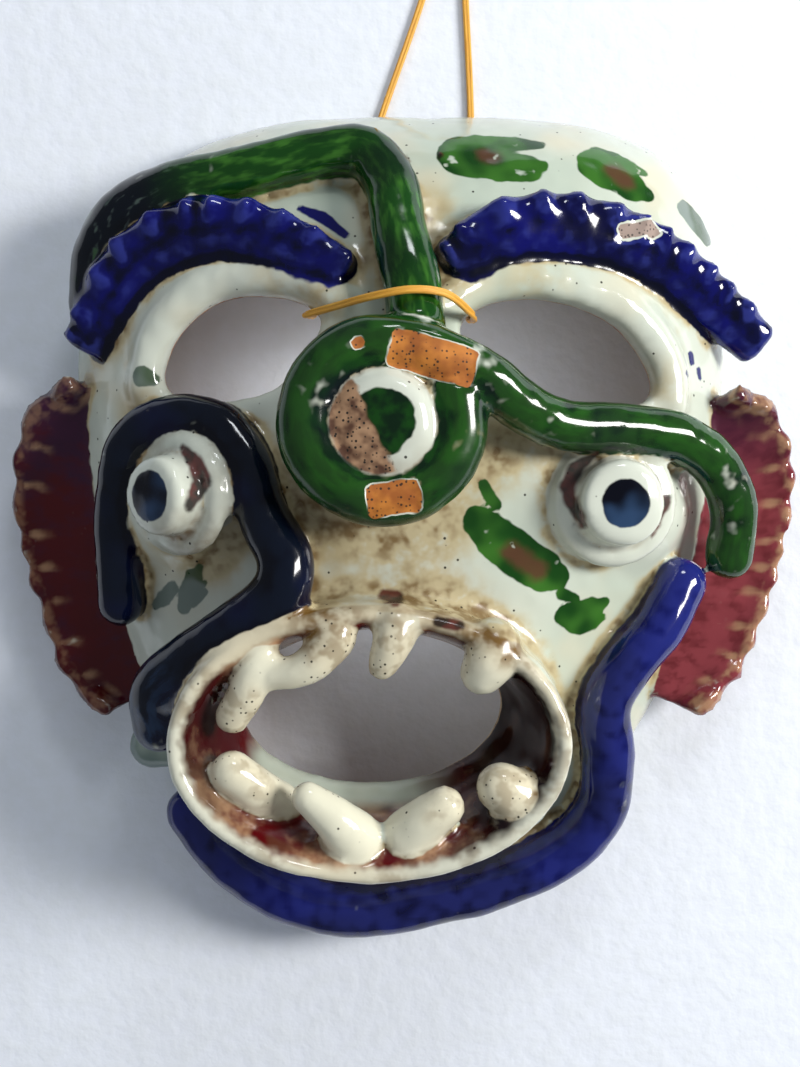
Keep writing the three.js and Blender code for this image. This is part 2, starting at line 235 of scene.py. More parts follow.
# Brush strokes painted on the shell, as points of x, y and half width along each
LEAVES = [
    [(19.5, 118.8, 6.7), (24.5, 118.5, 7.6), (31.4, 114.8, 4.9), (39.6, 113.8, 3.9), (44.3, 114.8, 1.0)],
    [(22, 121, 5.0), (28.3, 123.7, 2.5), (36.1, 124, 2.0), (44.3, 123.4, 0.7)],
    [(62.2, 116.6, 5.4), (65.1, 115.3, 6.2), (69.5, 112.4, 5.1), (73.7, 109.6, 4.1), (78.2, 107.7, 1.6)],
    [(63.8, 119.1, 4.1), (68.6, 119.1, 2.9), (74, 117.2, 1.4), (78.5, 115.6, 0.3)],
    [(23.6, 3.5, 3.8), (29.3, -1.7, 5.4), (36.8, -7.4, 5.7), (43.8, -11.6, 5.1), (47.1, -12.8, 3.3)],
    [(24.8, 14.4, 0.5), (27, 11.3, 0.9), (28.8, 8.2, 0.5)],
    [(51, -25.5, 2.5), (55, -25.8, 4.2), (58.7, -23.9, 3.1), (63.7, -21.2, 0.4)],
    [(55.6, -26.7, 3.4), (59.3, -26.7, 2.2), (63, -26.1, 0.3)],
    [(49.4, -18.4, 0.6), (53.8, -20.1, 0.4)],
]
DULL_LEAVES = [
    [(92.8, 105.5, 2.6), (96.8, 102.2, 3.6), (101, 97.9, 2.6)],
    [(-77.6, -22.8, 0.9), (-74.4, -20.3, 2.0), (-71.3, -17.1, 1.6), (-70.6, -15.2, 0.4)],
    [(-67.5, -22.8, 1.9), (-65.9, -17.7, 2.5), (-63.7, -13.7, 2.5), (-61.5, -10.2, 0.5)],
    [(-64.5, -17.7, 1.6), (-60.3, -15.2, 0.4)],
    [(-64.5, -20.9, 1.9), (-60.3, -18.1, 0.5)],
    [(-79.5, 48.6, 2.8), (-76.5, 47.8, 1.6)],
]
# Brown in the middle of the leaves
BLOTCHES = [
    [(33.5, -5.5, 2.6), (41.5, -11, 3.0)],
    [(26.5, 118.6, 2.4), (29.5, 118.2, 2.0)],
    [(67.5, 114.5, 2.8), (72, 111.5, 2.6)],
]
# Iron red in the creases beside the eyes, and in spots on the lip and the crown
RUST = [
    [(-64.2, 25.1, 1.0), (-59.5, 20.5, 2.2), (-57.6, 15.1, 2.7), (-60.9, 7.1, 0.8)],
    [(58, 23.5, 0.8), (52.5, 19.5, 1.9), (50, 13.7, 2.2), (51.2, 8.3, 1.5), (54.5, 2, 0.5)],
    [(77, 19.2, 0.4), (80.5, 10, 1.2), (76, -1, 0.4)],
    [(-4.5, -18.4, 1.6), (-1, -19, 1.9)],
    [(11, -25.5, 1.2), (17, -26.5, 1.4)],
    [(1.3, 118, 0.9), (2.2, 116, 0.7)],
    [(12.4, 119, 0.6), (12.8, 117.5, 0.5)],
]
# Blue that was smeared or dripped beside the brows
SPLASHES = [
    [(-30.3, 99.4, 0.6), (-24, 96.5, 1.5), (-16.6, 90.4, 0.8)],
    [(92.5, 57, 0.7), (93.2, 54.5, 0.4)],
    [(90.5, 50.5, 0.6), (91, 49.5, 0.3)],
    [(96, 52.5, 0.5), (96.4, 50, 0.3)],
]

# Dirt that has settled round the nose, eyes and mouth, as x, y, spread and strength
DIRT = [
    (-2, 4, 14, 0.9), (22, 22, 11, 0.8), (-27, 5, 8, 0.9), (30, 26, 9, 0.7), (0, 88, 10, 0.45),
    (9, 98, 9, 0.6), (14, 78, 8, 0.8), (-22, 68, 8, 0.5), (-60, -6, 10, 0.45), (-46, 3, 8, 0.6),
    (48, 22, 10, 0.45), (2, -20, 9, 0.7), (20, -24, 9, 0.4), (-20, -22, 9, 0.5), (-35, 76, 12, 0.35),
    (40, 78, 14, 0.35), (-90, 62, 8, 0.5), (80, 46, 9, 0.4), (-82, 38, 8, 0.5), (78, -45, 10, 0.3),
    (14, -23, 9, 0.9), (31, -31, 8, 0.8), (-58, -4, 9, 0.8), (-70, 0, 8, 0.6), (-30, -30, 8, 0.8),
    (-14, 2, 12, 0.6), (12, 3, 12, 0.6), (-52, 20, 7, 0.6),
]

# Chips in the glaze, as middle, half length, half width and turn in degrees
CHIPS = [
    (9.1, 48.8, 83.0, 12.4, 5.5, -14.6),
    (-1.7, 9.8, 83.0, 7.6, 4.8, 8.0),
    (-11.9, 52.6, 83.6, 2.2, 1.7, 20.0),
]
BROW_CHIPS = [(72.5, 92.8, 49.0, 6.5, 2.6, 12.0), (77.0, 93.2, 49.0, 2.6, 3.0, 30.0)]
CHIP_DEPTH = 0.8
CHIP_CORNER = 1.4
CHIP_THROUGH = 9.0  # how far above and below its middle a chip can be told

# Waves of the hand-pressed surface, as long as a thumb and a fingertip, and the flat rim under them
THUMB = 16.0
FINGERTIP = 5.0
FINGERTIP_SHARE = 0.35
RIM = 1.0
RIM_BLEND = 4.0

# How far from a lump its paint can be told, in millimetres
REACH = 4.0

# Rounds of smoothing that show a broad crease and a sharp edge
CREASE_ROUNDS = 16
EDGE_ROUNDS = 3

# The photograph's height and focal length in its pixels, and the sensor in millimetres
PICTURE_HEIGHT = 1067
FOCAL_PIXELS = 1219.0
SENSOR = 36.0

# Lights, as name, place, what they aim at, size, power, tint and whether the glaze mirrors them
FACE = (0, 0, 0.03)
BEHIND = (-0.004, 0.015, 0.042)
LIGHTS = [
    ("window", (0.95, 0.2, 0.7), FACE, (0.3, 0.5), 18, (1.0, 0.98, 0.95), True),
    ("skylight", (0.25, 1.0, 0.75), FACE, (0.28, 0.16), 2.5, (0.92, 0.96, 1.0), True),
    ("upper wall", (-0.1, 1.2, 0.8), FACE, (1.2, 0.8), 4, (0.92, 0.96, 1.0), False),
    ("left wall", (-1.2, -0.2, 0.8), FACE, (1.4, 1.0), 4, (0.86, 0.92, 1.0), False),
    ("room", (0.2, -1.2, 0.9), FACE, (1.4, 1.0), 3, (0.95, 0.97, 1.0), False),
    ("glow behind", BEHIND, (BEHIND[0], BEHIND[1], 0), (0.09, 0.09), 0.025, (0.95, 0.98, 1.0), False),
]
SKY = (0.82, 0.89, 1.0)
SKY_STRENGTH = 0.14
FLOOR_HALF = 3.0


def linear(red, green, blue):
    """A colour given as it looks on a screen, 0 to 255, as the shader takes it."""
    def channel(value):
        share = value / 255
        return share / 12.92 if share <= 0.04045 else ((share + 0.055) / 1.055) ** 2.4

    return (channel(red), channel(green), channel(blue))


def colour(name, description, red, green, blue):
    return FloatVectorProperty(
        name=name, description=description, subtype="COLOR", size=3, min=0, max=1,
        default=linear(red, green, blue),
    )


class WallMaskSizes(bpy.types.PropertyGroup):
    """Sizes of the clay and the cord that a user would change."""

    wall: FloatProperty(
        name="Wall", description="Thickness of the clay shell", default=0.007, unit="LENGTH"
    )
    grain: FloatProperty(
        name="Grain", description="Fineness of the fused clay surface", default=0.00145, unit="LENGTH"
    )
    unevenness: FloatProperty(
        name="Unevenness", description="How far the hand-pressed surface wanders", default=0.00055,
        unit="LENGTH",
    )
    cord: FloatProperty(
        name="Cord", description="Thickness of the hanging cord", default=0.0022, unit="LENGTH"
    )
    camera: FloatProperty(name="Camera", description="Height of the camera", default=0.42, unit="LENGTH")


class WallMaskGlazes(bpy.types.PropertyGroup):
    """Colours of the glazes, the bare clay, the cord and the floor."""

    white: colour("White", "Milky glaze of the face", 202, 207, 194)
    celadon: colour("Celadon", "Greenish tinge of that glaze", 182, 193, 178)
    cream: colour("Cream", "Warm white of lips and teeth", 208, 198, 170)
    ivory: colour("Ivory", "Teeth", 218, 216, 194)
    honey: colour("Honey", "Yellowed glaze", 184, 164, 116)
    stain: colour("Stain", "Dirt and iron in the creases", 108, 80, 38)
    soot: colour("Soot", "Pinholes and specks", 24, 20, 16)
    green: colour("Green", "Bright green of the crown's coil and the leaves", 18, 60, 15)
    leaf: colour("Leaf", "Lighter green where that glaze runs thin", 54, 104, 34)
    bottle: colour("Bottle", "Deep green of the nose's coil", 6, 30, 12)
    pitch: colour("Pitch", "Blue black where a dark glaze runs thick", 5, 11, 20)
    slate: colour("Slate", "Grey green of the dull leaves and the stub", 100, 116, 110)
    navy: colour("Navy", "Blue black of the left cheek's coil", 2, 3, 14)
    steel: colour("Steel", "Grey blue where the navy runs thin", 40, 62, 92)
    cobalt: colour("Cobalt", "Blue of the chin's coil", 5, 11, 80)
    midnight: colour("Midnight", "Cobalt where it runs thick", 4, 5, 46)
    brow: colour("Brow", "Ultramarine of the brows", 9, 11, 88)
    violet: colour("Violet", "Lighter blue on the brows' crests", 58, 68, 160)
    oxblood: colour("Oxblood", "Dark red of the left ear", 70, 9, 13)
    plum: colour("Plum", "Purple in the ears' folds", 52, 20, 44)
    rose: colour("Rose", "Pinkish brown of the right ear", 126, 54, 60)
    maroon: colour("Maroon", "Red of the mouth's inside", 80, 10, 14)
    # Gore is laid as painted shade at the mouth's ends, and also darkens the iron red
    gore: colour("Gore", "Near black of the mouth's inside", 22, 5, 7)
    umber: colour("Umber", "Brown where glazes have mixed", 84, 54, 38)
    biscuit: colour("Biscuit", "Pale brown where a glaze has drawn back", 168, 132, 100)
    terracotta: colour("Terracotta", "Bare fired clay in the chips and behind", 190, 118, 42)
    ember: colour("Ember", "Darker grains of that clay", 150, 84, 30)
    brick: colour("Brick", "Clay behind, darkened by age", 158, 92, 58)
    ash: colour("Ash", "Clay under the brows' glaze", 150, 132, 122)
    cord: colour("Cord", "Golden fibre", 236, 180, 70)
    straw: colour("Straw", "Darker strands of that fibre", 206, 140, 44)
    floor: colour("Floor", "Pale floor", 226, 231, 240)


def sizes():
    return bpy.context.scene.wall_mask_sizes


def glazes():
    return bpy.context.scene.wall_mask_glazes


def millimetres(metres):
    return metres / MM


# Lines and fields

def smooth(value, low, high):
    """0 up to low and 1 from high on, smooth between them."""
    share = np.clip((value - low) / (high - low), 0.0, 1.0)
    return share * share * (3 - 2 * share)


def bump(value, at, width):
    """1 at a place, falling away over a width."""
    return np.exp(-(((value - at) / width) ** 2))


def curve_through(points, step=1.0, closed=False):
    """Evenly spaced points on the smooth line through the given ones."""
    given = np.array(points, float)
    if closed:
        given = np.vstack([given[-1], given, given[:2]])
    else:
        given = np.vstack([2 * given[0] - given[1], given, 2 * given[-1] - given[-2]])
    dense = []
    for a, b, c, d in zip(given, given[1:], given[2:], given[3:]):
        gaps = np.sqrt(np.linalg.norm([b - a, c - b, d - c], axis=1))
        ta, tb, tc, td = np.concatenate([[0.0], np.cumsum(gaps)])
        t = np.linspace(tb, tc, 30, endpoint=False)[:, None]
        ab = (tb - t) / (tb - ta) * a + (t - ta) / (tb - ta) * b
        bc = (tc - t) / (tc - tb) * b + (t - tb) / (tc - tb) * c
        cd = (td - t) / (td - tc) * c + (t - tc) / (td - tc) * d
        abc = (tc - t) / (tc - ta) * ab + (t - ta) / (tc - ta) * bc
        bcd = (td - t) / (td - tb) * bc + (t - tb) / (td - tb) * cd
        dense.append((tc - t) / (tc - tb) * abc + (t - tb) / (tc - tb) * bcd)
    line = np.vstack([*dense, given[-2:-1]])
    run = np.concatenate([[0.0], np.cumsum(np.linalg.norm(np.diff(line, axis=0), axis=1))])
    count = max(4, round(run[-1] / step) + 1)
    even = np.linspace(0.0, run[-1], count)
    return np.stack([np.interp(even, run, line[:, axis]) for axis in range(3)], axis=1)


def at_share(values, share):
    """Values along a line, taken at shares of its length."""
    at = share * (len(values) - 1)
    return np.stack([np.interp(at, np.arange(len(values)), values[:, axis]) for axis in range(3)], axis=-1)


def frames_along(line):
    """The way the line runs, the way across it on the face, and the way out of the face, at each point."""
    along = np.gradient(line, axis=0)
    along /= np.linalg.norm(along, axis=1, keepdims=True)
    across = np.cross(along, (0.0, 0.0, 1.0))
    across /= np.maximum(np.linalg.norm(across, axis=1, keepdims=True), 1e-6)
    return along, across, np.cross(across, along)


def nose_coil():
    """The line of the coil that turns round the nose and runs off over the right eye."""
    turn = [
        (NOSE[0] + NOSE_RING * math.cos(angle), NOSE[1] + NOSE_RING * math.sin(angle), NOSE_RING_Z)
        for angle in np.linspace(*NOSE_TURN, 12)
    ]
    return turn + NOSE_TAIL


def crown_radius(t):
    """Thinner at its bend and thickest over the temple."""
    return CROWN_RADIUS - 1.2 * bump(t, 0.5, 0.2) + 2.6 * bump(t, 0.9, 0.16)


def nose_radius(t):
    """Thinner from where the coil leaves the nose."""
    return NOSE_RADIUS - 1.2 * smooth(t, 0.45, 0.62) - 0.8 * bump(t, 0.52, 0.05)


def left_radius(t):
    """Thicker from the cheek down to the jaw."""
    return LEFT_RADIUS + 1.4 * smooth(t, 0.45, 0.7)


def chin_radius(t):
    """Thickest under the chin."""
    return CHIN_RADIUS + 0.9 * bump(t, 0.62, 0.22)


def by_hand(t):
    """A share of a length as uneven as fingers space their pinches."""
    return t + 0.016 * np.sin(9 * t + 1) + 0.009 * np.sin(23 * t)


def brow_taper(t):
    """Share of a brow's full section, less towards its ends."""
    return 0.72 + 0.28 * np.sin(math.pi * np.minimum(1.0, 0.18 + 0.82 * t))


# Clay shapes

def reshape(verts, place):
    """Moves vertices to where place puts their array of points."""
    points = place(np.array([vert.co for vert in verts]))
    for vert, point in zip(verts, points):
        vert.co = point


def add_bar(bm, points, radius, sides=24, step=1.5, caps=6, width=1.0, height=1.0, bulge=1.0, shape=None):
    """A bar bent along a line, with ends that bulge, its width on the face and its height out of it."""
    line = curve_through(points, step)
    along, across, out = frames_along(line)
    rings = len(line) + 2 * caps
    made = bmesh.ops.create_uvsphere(bm, u_segments=sides, v_segments=rings, radius=1.0)

    def place(ball):
        ring = np.arccos(np.clip(ball[:, 2], -1, 1)) / math.pi * rings
        turn = np.arctan2(ball[:, 1], ball[:, 0])
        before = np.clip(1 - ring / caps, 0, 1) * math.pi / 2
        after = np.clip((ring - rings + caps) / caps, 0, 1) * math.pi / 2
        full = np.cos(before) * np.cos(after)
        past = np.sin(after) - np.sin(before)
        t = np.clip((ring - caps) / (rings - 2 * caps), 0, 1)
        wide = full * np.cos(turn) * width
        tall = -full * np.sin(turn) * height
        if shape:
            wide, tall = shape(wide, tall, t)
        r = radius(t)
        return (
            at_share(line, t)
            + at_share(across, t) * (wide * r)[:, None]
            + at_share(out, t) * (tall * r)[:, None]
            + at_share(along, t) * (past * r * bulge)[:, None]
        )

    reshape(made["verts"], place)


def add_ellipsoid(bm, middle, half_sizes):
    matrix = Matrix.Translation(middle) @ Matrix.Diagonal((*half_sizes, 1.0))
    bmesh.ops.create_uvsphere(bm, u_segments=48, v_segments=32, radius=1.0, matrix=matrix)


def aimed(place, aim):
    """The matrix that turns +Z to aim and moves to a place."""
    return Matrix.Translation(place) @ Vector(aim).to_track_quat("Z", "Y").to_matrix().to_4x4()


def add_spun(bm, profile, matrix, closed=False):
    """A profile of radius and height spun into a solid about +Z, then placed."""
    verts = [bm.verts.new((radius, 0.0, height)) for radius, height in profile]
    ends = zip(verts, verts[1:] + verts[:1]) if closed else zip(verts, verts[1:])
    edges = [bm.edges.new(pair) for pair in ends]
    bmesh.ops.spin(
        bm, geom=verts + edges, cent=(0, 0, 0), axis=(0, 0, 1), angle=math.tau, steps=48, use_merge=True
    )
    reached = set(verts)
    fresh = list(verts)
    while fresh:
        for edge in fresh.pop().link_edges:
            for vert in edge.verts:
                if vert not in reached:
                    reached.add(vert)
                    fresh.append(vert)
    bmesh.ops.remove_doubles(bm, verts=list(reached), dist=1e-4)
    kept = [vert for vert in reached if vert.is_valid]
    faces = list({face for vert in kept for face in vert.link_faces})
    bmesh.ops.recalc_face_normals(bm, faces=faces)
    bmesh.ops.transform(bm, matrix=matrix, verts=kept)
    return kept


def rounded(corners, radius, turns=4):
    """A profile whose inner corners are rounded off."""
    profile = [corners[0]]
    for before, corner, after in zip(corners, corners[1:], corners[2:]):
        here = Vector(corner)
        back, onward = Vector(before) - here, Vector(after) - here
        start = here + back.normalized() * min(radius, back.length / 2)
        end = here + onward.normalized() * min(radius, onward.length / 2)
        for i in range(turns + 1):
            t = i / turns
            profile.append(tuple(start * (1 - t) ** 2 + here * 2 * t * (1 - t) + end * t ** 2))
    return profile + [corners[-1]]


def outline_radius(cos, sin):
    """Distance from the middle of the widest line to the outline, in a direction."""
    reach = np.where(sin > 0, CROWN, CHIN)
    crown = np.where(cos < 0, CROWN_SQUARENESS_LEFT, CROWN_SQUARENESS_RIGHT)
    power = np.where(sin > 0, crown, CHIN_SQUARENESS)
    return ((np.abs(cos) / HALF_WIDTH) ** power + (np.abs(sin) / reach) ** power) ** (-1 / power)


def add_dome(bm, inset, foot, segments, rings):
    """The dome as a solid, drawn in from the outer face by inset and flat at z = foot."""
    made = bmesh.ops.create_uvsphere(bm, u_segments=segments, v_segments=rings, radius=1.0)

    def place(ball):
        share = np.minimum(1.0, np.hypot(ball[:, 0], ball[:, 1]))
        angle = np.arctan2(ball[:, 1], ball[:, 0])
        cos, sin = np.cos(angle), np.sin(angle)
        reach = share * (outline_radius(cos, sin) - inset)
        rise = (DOME - inset) * np.maximum(0.0, 1 - share ** SHOULDER) ** ROUNDNESS
        tall = np.where(ball[:, 2] > -1e-6, rise, foot)
        return np.stack([reach * cos, BROW_LINE + reach * sin, tall], axis=1)

    reshape(made["verts"], place)


def add_eye_hole(bm, outline):
    """What is cut out for an eye opening: its outline drawn through the shell."""
    line = curve_through([(x, y, 0) for x, y in outline], 1.5, closed=True)[:-1]
    made = bmesh.ops.create_circle(bm, cap_ends=True, segments=len(line), radius=1.0)
    for vert, point in zip(made["verts"], line[::-1]):
        vert.co = point
    face = made["verts"][0].link_faces[0]
    raised = bmesh.ops.extrude_face_region(bm, geom=[face])["geom"]
    top = [item for item in raised if isinstance(item, bmesh.types.BMVert)]
    bmesh.ops.translate(bm, verts=top, vec=(0, 0, CUT_HEIGHT))
    bmesh.ops.translate(bm, verts=bm.verts, vec=(0, 0, CUT_FOOT))
    bmesh.ops.recalc_face_normals(bm, faces=bm.faces)


def add_throat(bm):
    """What is cut out for the mouth."""
    middle, across, along = THROAT
    place = Matrix.Translation((middle[0], middle[1], THROAT_CUT_Z))
    matrix = place @ Matrix.Diagonal((across, along, 1, 1))
    bmesh.ops.create_cone(
        bm, cap_ends=True, segments=96, radius1=1.0, radius2=1.0, depth=THROAT_CUT, matrix=matrix
    )


def lip_section(forward):
    """Middle, half width and half height of the trumpet at a share of its depth, as arrays."""
    flare = np.maximum(0.0, forward) ** 0.75
    (throat, throat_across, throat_along), (lips, lips_across, lips_along) = THROAT, LIPS
    return (
        throat[0] + (lips[0] - throat[0]) * flare,
        throat[1] + (lips[1] - throat[1]) * flare,
        throat_across + (lips_across - throat_across) * flare,
        throat_along + (lips_along - throat_along) * flare,
        flare,
    )


def add_lips(bm):
    """The trumpet of the lips: a ring spun from a circle and drawn out into a rounded wall."""
    circle = [(2 + math.cos(a), math.sin(a)) for a in np.linspace(0, math.tau, 40, endpoint=False)]
    made = add_spun(bm, circle, Matrix.Identity(4), closed=True)

    def place(ring):
        around = np.arctan2(ring[:, 1], ring[:, 0])
        in_out = np.hypot(ring[:, 0], ring[:, 1]) - 2
        blunt = np.sign(ring[:, 2]) * np.sqrt(np.abs(ring[:, 2]))
        forward = LIP_ROOT + (1 - LIP_ROOT) * (0.5 + 0.5 * blunt)
        x, y, across, along, flare = lip_section(forward)
        wall = in_out * LIP_WALL + LIP_FOOT * np.maximum(0, in_out) * (1 - flare) ** 1.5
        depth = THROAT[0][2] + (LIPS[0][2] - THROAT[0][2]) * forward
        x = x + (across + wall) * np.cos(around)
        y = y + (along + wall) * np.sin(around)
        return np.stack([x, y, depth], axis=1)

    reshape(made, place)


def add_eye(bm, socket, aim, reach, radius, _pupil):
    """A bulging eye: a round stub with a collar at its foot."""
    matrix = aimed(socket, aim)
    corners = [
        (0, -EYE_ROOT), (radius, -EYE_ROOT), (radius, reach - 1), (radius * 0.82, reach), (0, reach + 0.8),
    ]
    add_spun(bm, rounded(corners, 3.0), matrix)
    tube = [
        (radius + EYE_COLLAR + EYE_COLLAR * math.cos(a), EYE_COLLAR_HEIGHT + EYE_COLLAR * math.sin(a))
        for a in np.linspace(0, math.tau, 16, endpoint=False)
    ]
    add_spun(bm, tube, matrix, closed=True)


def add_knob(bm):
    """The knob that fills the ring of the nose."""
    aim = Vector(KNOB_TIP) - Vector(KNOB_FOOT)
    corners = [
        (0, -KNOB_ROOT), (KNOB_RADIUS + KNOB_SPREAD, -KNOB_ROOT), (KNOB_RADIUS, aim.length - 1),
        (KNOB_RADIUS * 0.5, aim.length), (0, aim.length + 0.6),
    ]
    add_spun(bm, rounded(corners, 5.0), aimed(KNOB_FOOT, aim))


def add_brow(bm, points, flutes):
    """A brow with ridges pinched across its upper half."""
    def crimp(wide, tall, t):
        upper = np.maximum(0.0, -wide / BROW_HALF_WIDTH)
        ridge = 1 - np.abs(np.sin(math.pi * flutes * by_hand(t)))
        wide = wide * (BROW_WIDENING + RIDGE_WIDENING * upper * ridge)
        return wide, tall + BROW_CREST * upper * (BROW_HOLLOW + BROW_RIDGE * ridge)

    add_bar(
        bm, points, brow_taper, sides=40, step=0.8, caps=8, width=BROW_HALF_WIDTH, height=BROW_HEIGHT,
        bulge=BROW_END, shape=crimp,
    )


def add_tooth(bm, root, middle, tip, thick, thin):
    add_bar(bm, [root, middle, tip], lambda t: thick + (thin - thick) * t)


def ear_surface(ear, along, out):
    """Points of an ear's middle surface, from its root at out = 0 to its edge at out = 1."""
    root, edge, flutes = ear
    start = at_share(curve_through(root, 0.5), along)
    end = at_share(curve_through(edge, 0.5), along)
    frill = np.abs(np.sin(math.pi * flutes * by_hand(along))) ** EAR_NOTCH
    points = start + (end - start) * (out * (1 - EAR_SCALLOP * (1 - frill)))[..., None]
    points[..., 2] += EAR_CURL * out ** 3 - EAR_RIPPLE * (1 - frill) * out ** 2.2
    return points


def add_ear(bm, ear):
    """A frilled slab."""
    flutes = ear[2]
    made = bmesh.ops.create_grid(bm, x_segments=flutes * 16, y_segments=36, size=0.5)
    verts = made["verts"]
    reshape(verts, lambda flat: ear_surface(ear, flat[:, 0] + 0.5, flat[:, 1] + 0.5))
    faces = list({face for vert in verts for face in vert.link_faces})
    if ear is LEFT_EAR:  # its grid is laid the other way round
        bmesh.ops.reverse_faces(bm, faces=faces)
    bmesh.ops.translate(bm, verts=verts, vec=(0, 0, EAR_SLAB / 2))
    bmesh.ops.solidify(bm, geom=faces, thickness=EAR_SLAB * EAR_THINNING)


# Fusing the clay

def as_object(bm, name):
    mesh = bpy.data.meshes.new(name)
    bm.to_mesh(mesh)
    bm.free()
    made = bpy.data.objects.new(name, mesh)
    bpy.context.scene.collection.objects.link(made)
    return made


def drop(*objects):
    for made in objects:
        mesh = made.data
        bpy.data.objects.remove(made)
        bpy.data.meshes.remove(mesh)


def finished_mesh(made):
    """A bmesh of the object with its modifiers in place."""
    bpy.context.view_layer.update()
    bm = bmesh.new()
    bm.from_object(made, bpy.context.evaluated_depsgraph_get())
    return bm


def fused(bm, grain):
    """One closed skin over everything in the bmesh, as luted clay has."""
    made = as_object(bm, "luting")
    remesh = made.modifiers.new("Fuse", "REMESH")
    remesh.mode = "VOXEL"
    remesh.voxel_size = grain
    out = finished_mesh(made)
    drop(made)
    return out


def cut(bm, *cutters):
    """The bmesh with each cutter taken out of it."""
    made = as_object(bm, "blank")
    tools = [as_object(cutter, "cutter") for cutter in cutters]
    for tool in tools:
        boolean = made.modifiers.new("Cut", "BOOLEAN")
        boolean.operation = "DIFFERENCE"
        boolean.solver = "MANIFOLD"
        boolean.object = tool
    out = finished_mesh(made)
    drop(made, *tools)
    return out


def soften(bm, times, factor=0.5):
    for _ in range(times):
        bmesh.ops.smooth_vert(
            bm, verts=bm.verts, factor=factor, use_axis_x=True, use_axis_y=True, use_axis_z=True
        )


def shaped(add, *values):
    """A new bmesh with one shape in it."""
    bm = bmesh.new()
    add(bm, *values)
    return bm


def join(bm, *others):
    """Adds the other bmeshes' shapes to the first."""
    for other in others:
        mesh = bpy.data.meshes.new("joined")
        other.to_mesh(mesh)
        other.free()
        bm.from_mesh(mesh)
        bpy.data.meshes.remove(mesh)


def clay_lumps():
    """The lumps of clay that are luted to the face, by the name of their paint."""
    return {
        "crown_coil": [shaped(add_bar, CROWN_COIL, crown_radius)],
        "nose_coil": [shaped(add_bar, nose_coil(), nose_radius)],
        "left_coil": [shaped(add_bar, LEFT_COIL, left_radius)],
        "chin_coil": [shaped(add_bar, CHIN_COIL, chin_radius)],
        "stub": [shaped(add_bar, JAW_STUB, lambda t: JAW_STUB_RADIUS + 0 * t)],
        "knob": [shaped(add_knob)],
        "brow": [
            shaped(add_brow, LEFT_BROW, LEFT_BROW_FLUTES),
            shaped(add_brow, RIGHT_BROW, RIGHT_BROW_FLUTES),
        ],
        "eye": [shaped(add_eye, *eye) for eye in EYES],
        "tooth": [shaped(add_tooth, *tooth) for tooth in TEETH],
        "left_ear": [shaped(add_ear, LEFT_EAR)],
        "right_ear": [shaped(add_ear, RIGHT_EAR)],
    }


def clay_body():
    """The fired clay as one bmesh in the drawing's millimetres, and the skins of its lumps."""
    grain = millimetres(sizes().grain)
    bm = bmesh.new()
    add_dome(bm, 0.0, 0.0, *DOME_SEGMENTS)
    for socket, *_ in EYES:
        add_ellipsoid(bm, (socket[0], socket[1], socket[2] - CHEEK_SINK), CHEEK)
    add_ellipsoid(bm, (*NOSE, NOSE_CONE_Z), NOSE_CONE)
    bm = fused(bm, grain * SHELL_COARSENESS)
    soften(bm, SHELL_SOFTENING)
    bm = cut(bm, *[shaped(add_eye_hole, outline) for outline in EYE_HOLES], shaped(add_throat))
    lips = shaped(add_lips)
    hollow = shaped(add_dome, millimetres(sizes().wall), CUT_FOOT, *HOLLOW_SEGMENTS)
    lumps = clay_lumps()
    skins = {name: [Skin(lump) for lump in group] for name, group in lumps.items()}
    skins["lips"] = [Skin(lips)]
    skins["inside"] = [Skin(hollow)]
    join(bm, lips, *[shaped(add_bar, lid, lambda t: LID_RADIUS + 0 * t) for lid in LIDS])
    bm = fused(bm, grain * FACE_COARSENESS)
    soften(bm, FACE_SOFTENING)
    join(bm, *[lump for group in lumps.values() for lump in group])
    bm = fused(bm, grain)
    soften(bm, CLAY_SOFTENING)
    arch = bmesh.new()
    bmesh.ops.create_cone(
        arch, cap_ends=True, segments=256, radius1=CORD_GAP_ARC, radius2=CORD_GAP_ARC, depth=CORD_GAP_DEPTH,
        matrix=Matrix.Translation((CORD_GAP_X, BROW_LINE + CROWN, CORD_GAP - CORD_GAP_ARC))
        @ Matrix.Rotation(math.pi / 2, 4, "X"),
    )
    bm = cut(bm, hollow, arch)
    press_unevenly(bm)
    return bm, skins


def press_unevenly(bm):
    """Lets the hand-pressed skin wander a little, and breaks the chips out of it."""
    bm.normal_update()
    points = np.array([vert.co for vert in bm.verts])
    broken = np.minimum(chip_field(points, CHIPS), chip_field(points, BROW_CHIPS))
    depth = CHIP_DEPTH * smooth(-broken, -0.4, 0.8)
    wander = millimetres(sizes().unevenness)
    for vert, chipped in zip(bm.verts, depth):
        above_rim = min(1.0, max(0.0, (vert.co.z - RIM) / RIM_BLEND))
        lift = noise.noise(vert.co / THUMB) + FINGERTIP_SHARE * noise.noise(vert.co / FINGERTIP)
        vert.co += vert.normal * (lift * wander * above_rim - chipped)


# Where each paint lies, as one number for each point of the skin

class Skin:
    """The surface of a lump of clay before it is luted on."""

    def __init__(self, bm):
        self.tree = BVHTree.FromBMesh(bm)
        corners = np.array([vert.co for vert in bm.verts])
        self.low = corners.min(axis=0) - REACH
        self.high = corners.max(axis=0) + REACH


def clear_of(points, skins):
    """Distance in millimetres from each point to the nearest of the skins, up to REACH."""
    far = np.full(len(points), REACH)
    for skin in skins:
        near = np.flatnonzero(np.all((points > skin.low) & (points < skin.high), axis=1))
        for i, point in zip(near, points[near].tolist()):
            away = skin.tree.find_nearest(point, REACH)[3]
            if away is not None:
                far[i] = min(far[i], away)
    return far


